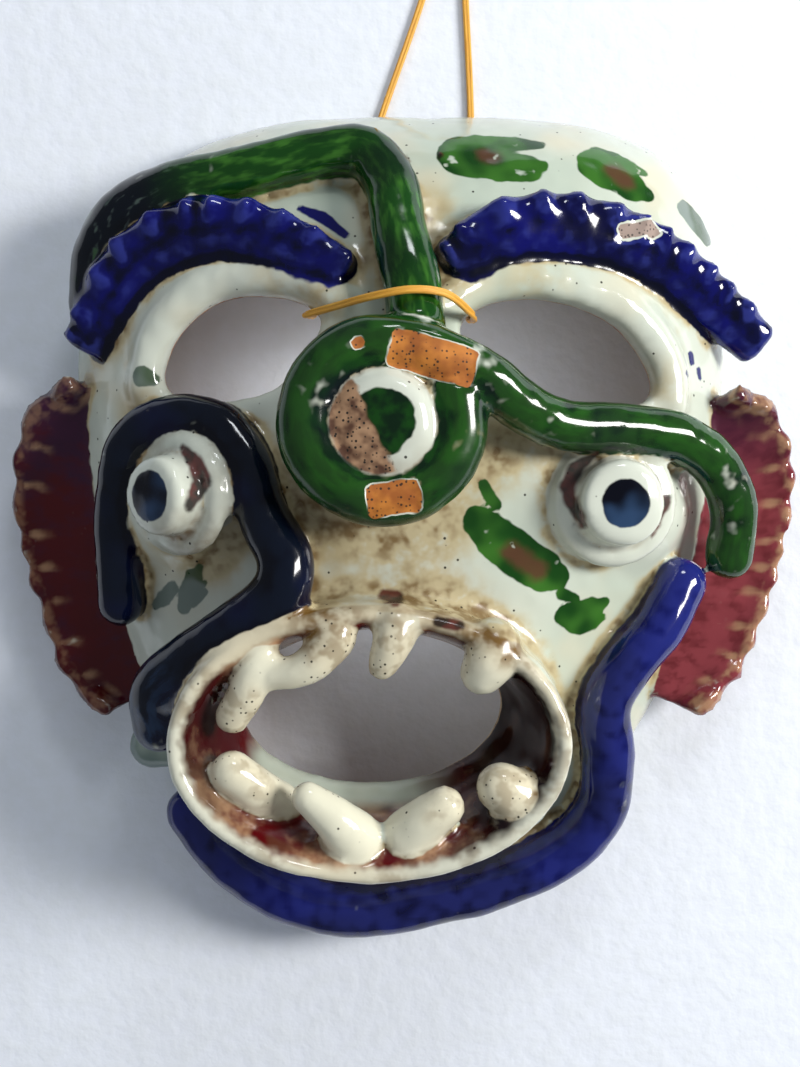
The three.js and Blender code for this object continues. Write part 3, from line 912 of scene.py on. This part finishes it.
def chip_field(points, chips):
    """Distance in millimetres outside the nearest chip, negative within it."""
    field = np.full(len(points), REACH)
    for x, y, z, half_length, half_width, turn in chips:
        cos, sin = math.cos(math.radians(turn)), math.sin(math.radians(turn))
        dx, dy = points[:, 0] - x, points[:, 1] - y
        along = np.abs(cos * dx + sin * dy) - half_length + CHIP_CORNER
        across = np.abs(cos * dy - sin * dx) - half_width + CHIP_CORNER
        outside = np.hypot(np.maximum(along, 0), np.maximum(across, 0))
        away = outside + np.minimum(np.maximum(along, across), 0) - CHIP_CORNER
        field = np.where(np.abs(points[:, 2] - z) < CHIP_THROUGH, np.minimum(field, away), field)
    return field


def stroke_field(points, strokes):
    """Distance in millimetres outside the nearest brush stroke, negative within it."""
    field = np.full(len(points), REACH)
    for stroke in strokes:
        for (x0, y0, r0), (x1, y1, r1) in zip(stroke, stroke[1:]):
            dx, dy = points[:, 0] - x0, points[:, 1] - y0
            long = (x1 - x0) ** 2 + (y1 - y0) ** 2
            t = np.clip((dx * (x1 - x0) + dy * (y1 - y0)) / long, 0, 1)
            away = np.hypot(dx - t * (x1 - x0), dy - t * (y1 - y0)) - (r0 + t * (r1 - r0))
            field = np.minimum(field, away)
    return field


def pupil_field(points):
    """Distance in millimetres outside the nearest painted pupil, negative within it."""
    pupils = np.full(len(points), REACH)
    for socket, aim, reach, _radius, pupil in EYES:
        aim = np.array(aim) / np.linalg.norm(aim)
        offset = points - np.array(socket)
        height = offset @ aim
        across = np.linalg.norm(offset - height[:, None] * aim, axis=1)
        pupils = np.minimum(pupils, np.maximum(across - pupil, reach - PUPIL_DEPTH - height))
    return pupils


def mouth_fields(points):
    """Distance outside the middle of the trumpet's wall, and the share of its depth."""
    forward = (points[:, 2] - THROAT[0][2]) / (LIPS[0][2] - THROAT[0][2])
    x, y, across, along, _flare = lip_section(np.clip(forward, 0, 1))
    dx, dy = (points[:, 0] - x) / across, (points[:, 1] - y) / along
    round_share = np.maximum(np.hypot(dx, dy), 1e-6)
    size = np.hypot(across * dx, along * dy) / round_share
    return (round_share - 1) * size, forward


def nearest_of(places, points):
    """For each point, the number of the nearest of the places."""
    tree = KDTree(len(places))
    for i, place in enumerate(places.tolist()):
        tree.insert(place, i)
    tree.balance()
    return np.array([tree.find(point)[1] for point in points.tolist()])


def coil_fields(points, lines):
    """How far along the nearest line each point is, in millimetres, and its turn round it in radians."""
    runs, frames = [], []
    for line in lines:
        runs.append(np.concatenate([[0.0], np.cumsum(np.linalg.norm(np.diff(line, axis=0), axis=1))]))
        frames.append(frames_along(line))
    middle = np.vstack(lines)
    run = np.concatenate(runs)
    across = np.vstack([each[1] for each in frames])
    out = np.vstack([each[2] for each in frames])
    nearest = nearest_of(middle, points)
    offset = points - middle[nearest]
    turn = np.arctan2(np.sum(offset * across[nearest], axis=1), np.sum(offset * out[nearest], axis=1))
    return run[nearest], turn


def ear_fields(points):
    """Share of the way out from an ear's root and along it, from the nearest place on an ear."""
    grid = np.meshgrid(np.linspace(0, 1, 120), np.linspace(0, 1, 24))
    along, out = [each.ravel() for each in grid]
    places = np.vstack([ear_surface(ear, along, out) for ear in (LEFT_EAR, RIGHT_EAR)])
    nearest = nearest_of(places, points) % len(along)
    return out[nearest], along[nearest]


def hollowness(points, normals, edges, rounds):
    """How far the skin lies below its smoothed self, in millimetres: positive in creases."""
    first, second = edges.T
    count = len(points)
    linked = np.bincount(edges.ravel(), minlength=count)[:, None]
    soft = points
    for _ in range(rounds):
        total = np.stack([
            np.bincount(first, soft[second, axis], count) + np.bincount(second, soft[first, axis], count)
            for axis in range(3)
        ], axis=1)
        soft = 0.4 * soft + 0.6 * total / linked
    return np.sum((soft - points) * normals, axis=1)


def dirt_field(points):
    """How much dirt has settled at each point."""
    settled = np.zeros(len(points))
    for x, y, spread, strength in DIRT:
        away = np.hypot(points[:, 0] - x, points[:, 1] - y)
        settled += strength * np.exp(-((away / spread) ** 2))
    return settled


def mesh_arrays(mesh):
    """The mesh's points in the drawing's millimetres, its normals and its edges."""
    points = np.empty(3 * len(mesh.vertices))
    normals = np.empty(3 * len(mesh.vertices))
    edges = np.empty(2 * len(mesh.edges), int)
    mesh.vertices.foreach_get("co", points)
    mesh.vertices.foreach_get("normal", normals)
    mesh.edges.foreach_get("vertices", edges)
    points = points.reshape(-1, 3) / MM - (*CENTRE, 0.0)
    return points, normals.reshape(-1, 3), edges.reshape(-1, 2)


def write_fields(mesh, fields):
    for name, values in fields.items():
        made = mesh.attributes.new(name, "FLOAT", "POINT")
        made.data.foreach_set("value", values.astype(np.float32))


def clay_fields(mesh, skins):
    """Writes every field that the clay's material reads."""
    points, normals, edges = mesh_arrays(mesh)
    fields = {name: clear_of(points, group) for name, group in skins.items()}
    strokes = {
        "leaf": LEAVES, "dull_leaf": DULL_LEAVES, "splash": SPLASHES, "rust": RUST, "blotch": BLOTCHES,
    }
    for name, brushed in strokes.items():
        fields[name] = stroke_field(points, brushed)
    fields["chip"] = chip_field(points, CHIPS)
    fields["brow_chip"] = chip_field(points, BROW_CHIPS)
    fields["dirt"] = dirt_field(points)
    fields["pupil"] = pupil_field(points)
    fields["maw"], fields["lip_depth"] = mouth_fields(points)
    lines = [curve_through(line, 1.0) for line in (CROWN_COIL, nose_coil(), LEFT_COIL, CHIN_COIL)]
    fields["run"], fields["turn"] = coil_fields(points, lines)
    fields["ear_out"], fields["ear_along"] = ear_fields(points)
    fields["crease"] = hollowness(points, normals, edges, CREASE_ROUNDS)
    fields["edge"] = hollowness(points, normals, edges, EDGE_ROUNDS)
    write_fields(mesh, fields)


# Glazes

class Varying:
    """A value that changes over a surface: a socket in a material's nodes.

    Arithmetic on numbers adds Math nodes, and any other node comes from node().
    """

    def __init__(self, tree, socket=None):
        self.tree = tree
        self.socket = socket

    def node(self, kind, settings=None, inputs=None, output=0):
        """Adds a node: its settings first, then what its sockets hold or are linked to."""
        made = self.tree.nodes.new(kind)
        for name, value in (settings or {}).items():
            setattr(made, name, value)
        for name, value in (inputs or {}).items():
            if isinstance(value, Varying):
                self.tree.links.new(value.socket, made.inputs[name])
            else:
                made.inputs[name].default_value = value
        return Varying(self.tree, made.outputs[output] if made.outputs else None)

    def field(self, name):
        """One of the mesh's own attributes."""
        return self.node("ShaderNodeAttribute", {"attribute_name": name}, output="Fac")

    def relief(self, height, strength, distance):
        """A normal bent by a height."""
        inputs = {"Height": height, "Strength": strength, "Distance": distance}
        return self.node("ShaderNodeBump", {}, inputs, "Normal")

    def math(self, operation, first, second):
        return self.node("ShaderNodeMath", {"operation": operation}, {0: first, 1: second})

    def __add__(self, other):
        return self.math("ADD", self, other)

    __radd__ = __add__

    def __sub__(self, other):
        return self.math("SUBTRACT", self, other)

    def __rsub__(self, other):
        return self.math("SUBTRACT", other, self)

    def __mul__(self, other):
        return self.math("MULTIPLY", self, other)

    __rmul__ = __mul__

    def beside(self, output):
        """Another output of the node that this value comes from."""
        return Varying(self.tree, self.socket.node.outputs[output])

    def most(self, other):
        return self.math("MAXIMUM", self, other)

    def step(self, low, high):
        """0 up to low and 1 from high on, smooth between them; high may be the smaller."""
        return self.node(
            "ShaderNodeMapRange", {"interpolation_type": "SMOOTHSTEP"},
            {"Value": self, "From Min": low, "From Max": high},
        )

    def mix(self, below, above):
        """One colour laid over another, with this value as its cover."""
        return self.node("ShaderNodeMix", {"data_type": "RGBA"}, {0: self, 6: below, 7: above}, 2)


def blank_material(name):
    """A material without nodes, a value to start them from, and the palette of colours."""
    material = bpy.data.materials.new(name)
    material.use_nodes = True
    material.node_tree.nodes.clear()
    palette = {each: (*getattr(glazes(), each), 1.0) for each in WallMaskGlazes.__annotations__}
    return material, Varying(material.node_tree), palette


def finish_material(start, base, roughness, normal, **constants):
    """Joins colour, roughness and relief to the shader, with its other sockets as numbers."""
    inputs = {"Base Color": base, "Roughness": roughness, "Normal": normal}
    inputs.update({name.replace("_", " "): value for name, value in constants.items()})
    shader = start.node("ShaderNodeBsdfPrincipled", {}, inputs)
    start.node("ShaderNodeOutputMaterial", {}, {"Surface": shader})


class Clay:
    """What the clay's paints share: the palette, the noises and the fields of the mesh."""

    def __init__(self, start, palette):
        self.start = start
        self.palette = palette
        self.place = start.node("ShaderNodeTexCoord", output="Object")
        self.patchy = self.cloud(30)
        self.broad = self.cloud(13, 1.0)
        self.fine = self.cloud(190)
        self.waves = self.cloud(85, 1.0)
        self.ragged = (self.cloud(240, 1.0) - 0.5) * 2.4
        self.edge = self.field("edge")
        self.thin = self.edge.step(-0.02, -0.1)
        self.run = self.field("run")
        lay = start.node("ShaderNodeCombineXYZ", {}, {"X": self.run * 0.035, "Y": self.field("turn") * 0.9})
        self.streaks = self.cloud(3.2, 2.0, lay)
        self.pinholes = self.specks(250, 0.11, 0.45)
        self.grog = self.specks(880, 0.34, 0.5)
        settled = self.field("dirt") * 0.95 + self.field("crease").step(0.05, 0.8) * 0.85
        self.grime = settled * (self.patchy * 0.6 + self.fine * 0.8).step(0.32, 0.86)

    def field(self, name):
        return self.start.field(name)

    def cloud(self, scale, detail=2.0, vector=None):
        inputs = {"Vector": vector or self.place, "Scale": scale, "Detail": detail}
        return self.start.node("ShaderNodeTexNoise", {}, inputs, "Fac")

    def specks(self, scale, size, share):
        """Round specks, of which only a share of the possible ones are there."""
        inputs = {"Vector": self.place, "Scale": scale}
        away = self.start.node("ShaderNodeTexVoronoi", {}, inputs, "Distance")
        chance = self.start.node("ShaderNodeSeparateColor", {}, {"Color": away.beside("Color")}, "Red")
        there = chance.step(share + 0.02, share - 0.02)
        return (away + chance * size * 0.5).step(size * 1.3, size * 0.7) * there

    def painted(self, name, margin=0.9):
        """Where a paint lies: up to a margin in millimetres from its lump or stroke, with a ragged edge."""
        return (self.field(name) + self.ragged * 0.6).step(margin + 0.35, margin - 0.35)

    def pocked(self, glaze):
        """A glaze with its pinholes."""
        return (self.pinholes * 0.9).mix(glaze, self.palette["soot"])


def paint_shell(clay):
    """The milky shell, dirty in its creases, with the leaves and splashes brushed on it."""
    palette, fine, waves, ragged = clay.palette, clay.fine, clay.waves, clay.ragged
    shell = clay.broad.step(0.42, 0.66).mix(palette["white"], palette["celadon"])
    shell = (clay.patchy.step(0.48, 0.72) * 0.6).mix(shell, palette["cream"])
    shell = (clay.grime.step(0.0, 0.5) * 0.75).mix(shell, palette["honey"])
    caked = clay.grime.step(0.3, 1.0) * (fine * 0.6 + ragged * 0.2).step(0.2, 0.42)
    shell = (caked * 0.85).mix(shell, palette["stain"])
    shell = (clay.pinholes * 0.92).mix(shell, palette["soot"])
    leaf = waves.step(0.36, 0.66).mix(palette["green"], palette["leaf"])
    browned = (clay.field("blotch") + ragged * 1.2).step(2.2, -1.6)
    leaf = (browned * 0.9).mix(leaf, palette["umber"])
    base = (clay.painted("leaf", 1.2) * fine.step(0.22, 0.34)).mix(shell, leaf)
    dull = waves.step(0.42, 0.6).mix(palette["slate"], palette["green"])
    base = (clay.painted("dull_leaf", 0.6) * 0.88).mix(base, dull)
    return clay.painted("splash", 0.5).mix(base, palette["brow"])


def paint_coils(clay, base):
    """The coils, darkest where the glaze lies thick and paler on their edges."""
    palette, patchy, streaks, run = clay.palette, clay.patchy, clay.streaks, clay.run
    crown = streaks.step(0.44, 0.72).mix(palette["green"], palette["leaf"])
    crown = (patchy.step(0.46, 0.66) * 0.85).mix(crown, palette["bottle"])
    temple = run.step(110, 142) * (1 - streaks.step(0.6, 0.72) * 0.5)
    crown = temple.mix(crown, palette["pitch"])
    ashen = run.step(118, 135) * run.step(178, 150) * streaks.step(0.55, 0.68)
    crown = (ashen * 0.5).mix(crown, palette["slate"])
    base = clay.painted("crown_coil").mix(base, crown)
    chin = patchy.step(0.4, 0.56).mix(palette["cobalt"], palette["midnight"])
    chin = (clay.thin * 0.25).mix(chin, palette["violet"])
    base = clay.painted("chin_coil").mix(base, chin)
    stub = patchy.step(0.4, 0.6).mix(palette["slate"], palette["celadon"])
    base = clay.painted("stub").mix(base, stub)
    left = (patchy.step(0.48, 0.66) * 0.6).mix(palette["navy"], palette["midnight"])
    left = (run.step(170, 200) * 0.6 * streaks.step(0.4, 0.66)).mix(left, palette["steel"])
    # Faint grey blue on the coil's convex edges: the navy running thin there, with a painted sheen
    left = (clay.thin * 0.07).mix(left, palette["steel"])
    return clay.painted("left_coil").mix(base, left)


def paint_brows(clay, base):
    """The brows, violet on their ridges and dark in the hollows between: navy laid there as painted shade
    over the glaze pooled in them.
    """
    palette, fine = clay.palette, clay.fine
    brow = (clay.patchy * 0.7 + fine * 0.3).step(0.38, 0.58).mix(palette["brow"], palette["midnight"])
    brow = (clay.thin * 0.4 * fine.step(0.3, 0.6)).mix(brow, palette["violet"])
    # Navy in the creases between the ridges: painted shade, over the darker glaze that pools there
    brow = (clay.edge.step(-0.02, 0.06) * 0.85).mix(brow, palette["navy"])
    return clay.painted("brow", 1.5).mix(base, brow)


def paint_nose(clay, base):
    """A white knob with a green patch and bare clay, in a green coil; also says where it is bare."""
    palette, fine, ragged = clay.palette, clay.fine, clay.ragged
    middle = (*[sum(parts) * MM for parts in zip(KNOB_TIP, KNOB_PAINT, CENTRE)], 0.0)
    offset = clay.start.node("ShaderNodeVectorMath", {"operation": "SUBTRACT"}, {0: clay.place, 1: middle})
    sideways = clay.start.node("ShaderNodeSeparateXYZ", {}, {"Vector": offset}, "X")
    up = sideways.beside("Y") * 1000
    sideways = sideways * 1000
    far = clay.start.math("SQRT", sideways * sideways + up * up, 0.0) + ragged
    left_side = (sideways + up * 0.45 + ragged * 1.6).step(-1.4, -3.0)
    bare = left_side * far.step(15.2, 14.0)
    knob = (clay.grime * 0.8).mix(palette["white"], palette["stain"])
    knob = clay.pocked(knob)
    knob = far.step(9.8, 9.0).mix(knob, fine.step(0.35, 0.6).mix(palette["green"], palette["bottle"]))
    knob = bare.mix(knob, fine.step(0.35, 0.62).mix(palette["umber"], palette["biscuit"]))
    knob = (clay.grog * bare).mix(knob, palette["soot"])
    of_knob = clay.painted("knob", 1.2)
    base = of_knob.mix(base, knob)
    streaked = (clay.streaks * 0.6 + clay.waves * 0.4).step(0.4, 0.6)
    coil = streaked.mix(palette["bottle"], palette["green"])
    coil = (clay.patchy.step(0.43, 0.58) * 0.9).mix(coil, palette["pitch"])
    coil = (clay.thin * 0.25).mix(coil, palette["leaf"])
    return clay.painted("nose_coil", 0.7).mix(base, coil), bare * of_knob


def paint_ears(clay, base):
    """The ears, brushed outwards and bare in their notches and on their edge."""
    palette, out, along = clay.palette, clay.field("ear_out"), clay.field("ear_along")
    lay = clay.start.node("ShaderNodeCombineXYZ", {}, {"X": out * 1.3, "Y": along * 9})
    rays = clay.cloud(2.2, 2.0, lay)
    notches = clay.edge.step(0.03, 0.16) * out.step(0.55, 0.85) * 0.7
    bare_edge = out.step(0.88, 0.99) * clay.fine.step(0.36, 0.6)
    left = (rays * 0.8 + along.step(0.5, 0.0) * 0.5).step(0.36, 0.8)
    left = left.mix(palette["oxblood"], palette["plum"])
    right = (rays.step(0.42, 0.7) * 0.6).mix(palette["rose"], palette["oxblood"])
    right = (along.step(0.42, 0.05) * 0.8).mix(right, palette["plum"])
    for name, ear, bareness in (("left_ear", left, 0.35), ("right_ear", right, 0.75)):
        ear = notches.mix(ear, palette["biscuit"])
        ear = (bare_edge * bareness).mix(ear, palette["biscuit"])
        base = clay.painted(name).mix(base, ear)
    return base


def paint_eyes(clay, base):
    """White eyes with painted pupils."""
    palette = clay.palette
    eyeball = clay.pocked((clay.grime * 0.5).mix(palette["white"], palette["stain"]))
    iris = clay.waves.step(0.4, 0.7).mix(palette["navy"], palette["steel"])
    eyeball = (clay.field("pupil") + clay.ragged * 0.5).step(0.4, -0.3).mix(eyeball, iris)
    return clay.painted("eye", 1.1).mix(base, eyeball)


def paint_mouth(clay, base):
    """Pale lips round maroon blotches, a pale throat and pocked teeth."""
    palette, patchy, fine, waves, ragged = clay.palette, clay.patchy, clay.fine, clay.waves, clay.ragged
    maw, depth = clay.field("maw"), clay.field("lip_depth")
    gums = (patchy * 0.7 + fine * 0.3).step(0.4, 0.56).mix(palette["biscuit"], palette["maroon"])
    gums = (waves.step(0.5, 0.62) * 0.6).mix(gums, palette["umber"])
    sideways = clay.start.node("ShaderNodeSeparateXYZ", {}, {"Vector": clay.place}, "X") * 1000 + waves * 14
    # Near black at the mouth's right end, and less at its left: painted shade in the corners of the funnel
    shaded_ends = sideways.step(14, 34).most(sideways.step(-40, -52) * 0.6)
    gums = shaded_ends.mix(gums, palette["gore"])
    throat = depth.step(0.36, 0.14) * sideways.step(26, 6) * sideways.step(-44, -34)
    gums = (throat * 0.9).mix(gums, palette["celadon"])
    lips = (clay.broad.step(0.35, 0.6) * 0.7).mix(palette["cream"], palette["white"])
    mottled = patchy.step(0.46, 0.62) * fine.step(0.36, 0.62)
    lips = (clay.grime * 0.8 + mottled * 0.5).mix(lips, palette["stain"])
    lips = clay.pocked(lips)
    inward = (maw + ragged * 0.6).step(-0.6, -1.8) * (depth + ragged * 0.04).step(0.97, 0.88)
    lips = inward.mix(lips, gums)
    of_lips = clay.painted("lips", 1.6) * (maw.step(2.0, 0.5) + depth.step(0.8, 0.95)).step(0.1, 0.6)
    base = of_lips.mix(base, lips)
    tooth = (patchy.step(0.4, 0.66) * 0.7).mix(palette["ivory"], palette["cream"])
    dull_tips = patchy.step(0.48, 0.6) * fine.step(0.42, 0.62)
    tooth = (clay.grime * 0.8 + dull_tips * 0.4).mix(tooth, palette["stain"])
    pores = clay.specks(520, 0.2, 0.5) * (patchy * 0.5 + waves * 0.5).step(0.46, 0.54)
    tooth = (pores.most(clay.pinholes) * 0.9).mix(tooth, palette["soot"])
    return (clay.painted("tooth", 0.9) * maw.step(1.6, 0.6)).mix(base, tooth)


def paint_rust(clay, base):
    """Iron red in the creases beside the eyes, and in spots."""
    rust = clay.fine.step(0.38, 0.6).mix(clay.palette["maroon"], clay.palette["gore"])
    return ((clay.field("rust") + clay.ragged * 0.8).step(0.9, -0.5) * 0.92).mix(base, rust)


def break_chips(clay, base):
    """Chips, with a broken white line of glaze round bare clay; also says where they are."""
    palette, ragged, waves = clay.palette, clay.ragged, clay.waves - 0.5
    body = clay.fine.step(0.3, 0.7).mix(palette["terracotta"], palette["ember"])
    body = (clay.grog * 0.9).mix(body, palette["soot"])
    ashy = (clay.grog * 0.8).mix(palette["ash"], palette["soot"])
    chip = clay.field("chip") + ragged * 0.6 + waves * 2.4
    brow_chip = clay.field("brow_chip") + ragged * 0.8 + waves * 2.0
    broken, brow_broken = chip.step(0.0, -0.3), brow_chip.step(-0.3, -0.7)
    base = (chip.step(0.3, 0.12) * clay.waves.step(0.4, 0.52)).mix(base, palette["white"])
    base = broken.mix(base, body)
    base = brow_chip.step(0.4, 0.1).mix(base, palette["white"])
    return brow_broken.mix(base, ashy), broken.most(brow_broken)


def paint_behind(clay, base):
    """Bare clay behind and under the rim, with smears of glaze; also says where it is."""
    palette, fine, ragged = clay.palette, clay.fine, clay.ragged * 0.5
    height = clay.start.node("ShaderNodeSeparateXYZ", {}, {"Vector": clay.place}, "Z") * 1000
    inside = (clay.field("inside") + ragged).step(1.2, 0.6).most((height + ragged).step(1.6, 0.9))
    behind = fine.step(0.3, 0.7).mix(palette["brick"], palette["biscuit"])
    behind = ((clay.broad + fine * 0.25).step(0.55, 0.72) * 0.6).mix(behind, palette["cream"])
    behind = (clay.grog * 0.5).mix(behind, palette["soot"])
    return inside.mix(base, behind), inside


def clay_material():
    """Every glaze of the mask and its bare clay, each laid where its field says."""
    material, start, palette = blank_material("glazed_clay")
    clay = Clay(start, palette)
    base = paint_brows(clay, paint_coils(clay, paint_shell(clay)))
    base, bare_knob = paint_nose(clay, base)
    base = paint_mouth(clay, paint_eyes(clay, paint_ears(clay, base)))
    base, broken = break_chips(clay, paint_rust(clay, base))
    base, inside = paint_behind(clay, base)
    matt = broken.most(inside).most(bare_knob * 0.8)
    roughness = 0.07 + clay.fine * 0.06 + clay.grime * 0.16 + matt * 0.66
    height = clay.waves * 0.55 + clay.ragged * clay.field("chip").step(0.3, -0.2) * 0.25
    finish_material(start, base, roughness, start.relief(height, 0.5, 0.0012), IOR=1.52)
    return material


def cord_material():
    """Golden fibre, lighter and darker along its strands."""
    material, start, palette = blank_material("cord")
    along, round_it = start.field("run") * 0.05, start.field("turn") * 2.4
    lay = start.node("ShaderNodeCombineXYZ", {}, {"X": along, "Y": round_it})
    fibres = start.node("ShaderNodeTexNoise", {}, {"Vector": lay, "Scale": 2.6, "Detail": 4.0}, "Fac")
    base = fibres.step(0.3, 0.7).mix(palette["cord"], palette["straw"])
    finish_material(start, base, 0.38 + fibres * 0.2, start.relief(fibres, 0.5, 0.0004))
    return material


def floor_material():
    """Pale plaster with a faint tooth."""
    material, start, palette = blank_material("floor")
    place = start.node("ShaderNodeTexCoord", output="Object")
    tooth = start.node("ShaderNodeTexNoise", {}, {"Vector": place, "Scale": 150, "Detail": 3.0}, "Fac")
    base = (tooth.step(0.3, 0.7) * 0.12).mix(palette["floor"], palette["white"])
    finish_material(start, base, 0.75 + tooth * 0.15, start.relief(tooth, 0.25, 0.002))
    return material


def finish_piece(bm, name, material):
    """Moves a bmesh to the frame and makes it a smooth piece that rides on the mask."""
    bmesh.ops.transform(bm, matrix=TO_FRAME, verts=bm.verts)
    for face in bm.faces:
        face.smooth = True
    piece = as_object(bm, name)
    piece.data.materials.append(material)
    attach(piece, "root")
    return piece


class WALLMASK_OT_clay(bpy.types.Operator):
    """Builds the glazed clay of the mask"""

    bl_idname = "wall_mask.clay"
    bl_label = "Glazed clay"

    def execute(self, context):
        bm, skins = clay_body()
        piece = finish_piece(bm, "glazed_mask", clay_material())
        clay_fields(piece.data, skins)
        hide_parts("ceramic_mask")
        return {"FINISHED"}


class WALLMASK_OT_cord(bpy.types.Operator):
    """Builds the hanging cord"""

    bl_idname = "wall_mask.cord"
    bl_label = "Hanging cord"

    def execute(self, context):
        bm = bmesh.new()
        thick = millimetres(sizes().cord)

        def two_strands(wide, tall, t):
            groove = CORD_GROOVE * bump(wide, 0, CORD_GROOVE_WIDTH)
            return wide * CORD_WIDENING, tall * (CORD_FLATNESS - groove)

        add_bar(bm, CORD, lambda t: thick / 2 + 0 * t, sides=24, step=0.8, shape=two_strands)
        piece = finish_piece(bm, "hanging_loop_cord", cord_material())
        points, _normals, _edges = mesh_arrays(piece.data)
        run, turn = coil_fields(points, [curve_through(CORD, 0.8)])
        write_fields(piece.data, {"run": run, "turn": turn})
        route = [TO_FRAME @ Vector(point) for point in curve_through(CORD, 1.0)]
        length = sum((after - before).length for before, after in zip(route, route[1:]))
        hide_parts("hanging_cord")
        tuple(route[0])
        return {"FINISHED"}


def lay_floor():
    bm = bmesh.new()
    bmesh.ops.create_grid(bm, x_segments=8, y_segments=8, size=FLOOR_HALF)
    floor = as_object(bm, "floor")
    floor.data.materials.append(floor_material())


def set_camera(scene):
    """Looks straight down on the face, as the photograph was taken."""
    lens = bpy.data.cameras.new("camera")
    lens.sensor_width = SENSOR
    lens.lens = FOCAL_PIXELS / PICTURE_HEIGHT * SENSOR
    camera = bpy.data.objects.new("camera", lens)
    camera.location = (CENTRE[0] * MM, CENTRE[1] * MM, sizes().camera)
    scene.collection.objects.link(camera)
    scene.camera = camera


def hang_light(scene, name, place, aim, size, power, tint, mirrored):
    lamp = bpy.data.lights.new(name, "AREA")
    lamp.shape = "RECTANGLE"
    lamp.size, lamp.size_y = size
    lamp.energy = power
    lamp.color = tint
    light = bpy.data.objects.new(name, lamp)
    light.location = place
    light.visible_camera = False
    light.visible_glossy = mirrored
    light.rotation_euler = (Vector(aim) - Vector(place)).to_track_quat("-Z", "Y").to_euler()
    scene.collection.objects.link(light)


def set_sky(scene):
    world = bpy.data.worlds.new("daylight")
    world.use_nodes = True
    sky = world.node_tree.nodes["Background"]
    sky.inputs["Color"].default_value = (*SKY, 1.0)
    sky.inputs["Strength"].default_value = SKY_STRENGTH
    scene.world = world


class WALLMASK_OT_stage(bpy.types.Operator):
    """Lays the floor, hangs the lights and sets the camera"""

    bl_idname = "wall_mask.stage"
    bl_label = "Floor, lights and camera"

    def execute(self, context):
        lay_floor()
        set_camera(context.scene)
        for light in LIGHTS:
            hang_light(context.scene, *light)
        set_sky(context.scene)
        context.scene.view_settings.view_transform = "Standard"
        return {"FINISHED"}


class WALLMASK_PT_build(bpy.types.Panel):
    """Lists what builds the wall mask"""

    bl_label = "Wall mask"
    bl_idname = "WALLMASK_PT_build"
    bl_space_type = "VIEW_3D"
    bl_region_type = "UI"
    bl_category = "Wall mask"

    def draw(self, context):
        for group in (sizes(), glazes()):
            column = self.layout.column()
            for name in group.__annotations__:
                column.prop(group, name)
        for operator in OPERATORS:
            self.layout.operator(operator.bl_idname)


OPERATORS = (WALLMASK_OT_stage, WALLMASK_OT_cord, WALLMASK_OT_clay)
CLASSES = (WallMaskSizes, WallMaskGlazes, *OPERATORS, WALLMASK_PT_build)


def register():
    for each in CLASSES:
        bpy.utils.register_class(each)
    bpy.types.Scene.wall_mask_sizes = PointerProperty(type=WallMaskSizes)
    bpy.types.Scene.wall_mask_glazes = PointerProperty(type=WallMaskGlazes)


def unregister():
    del bpy.types.Scene.wall_mask_glazes
    del bpy.types.Scene.wall_mask_sizes
    for each in reversed(CLASSES):
        bpy.utils.unregister_class(each)


def main():
    register()
    bpy.ops.wall_mask.stage()
    bpy.ops.wall_mask.cord()
    bpy.ops.wall_mask.clay()


if __name__ == "__main__":
    main()
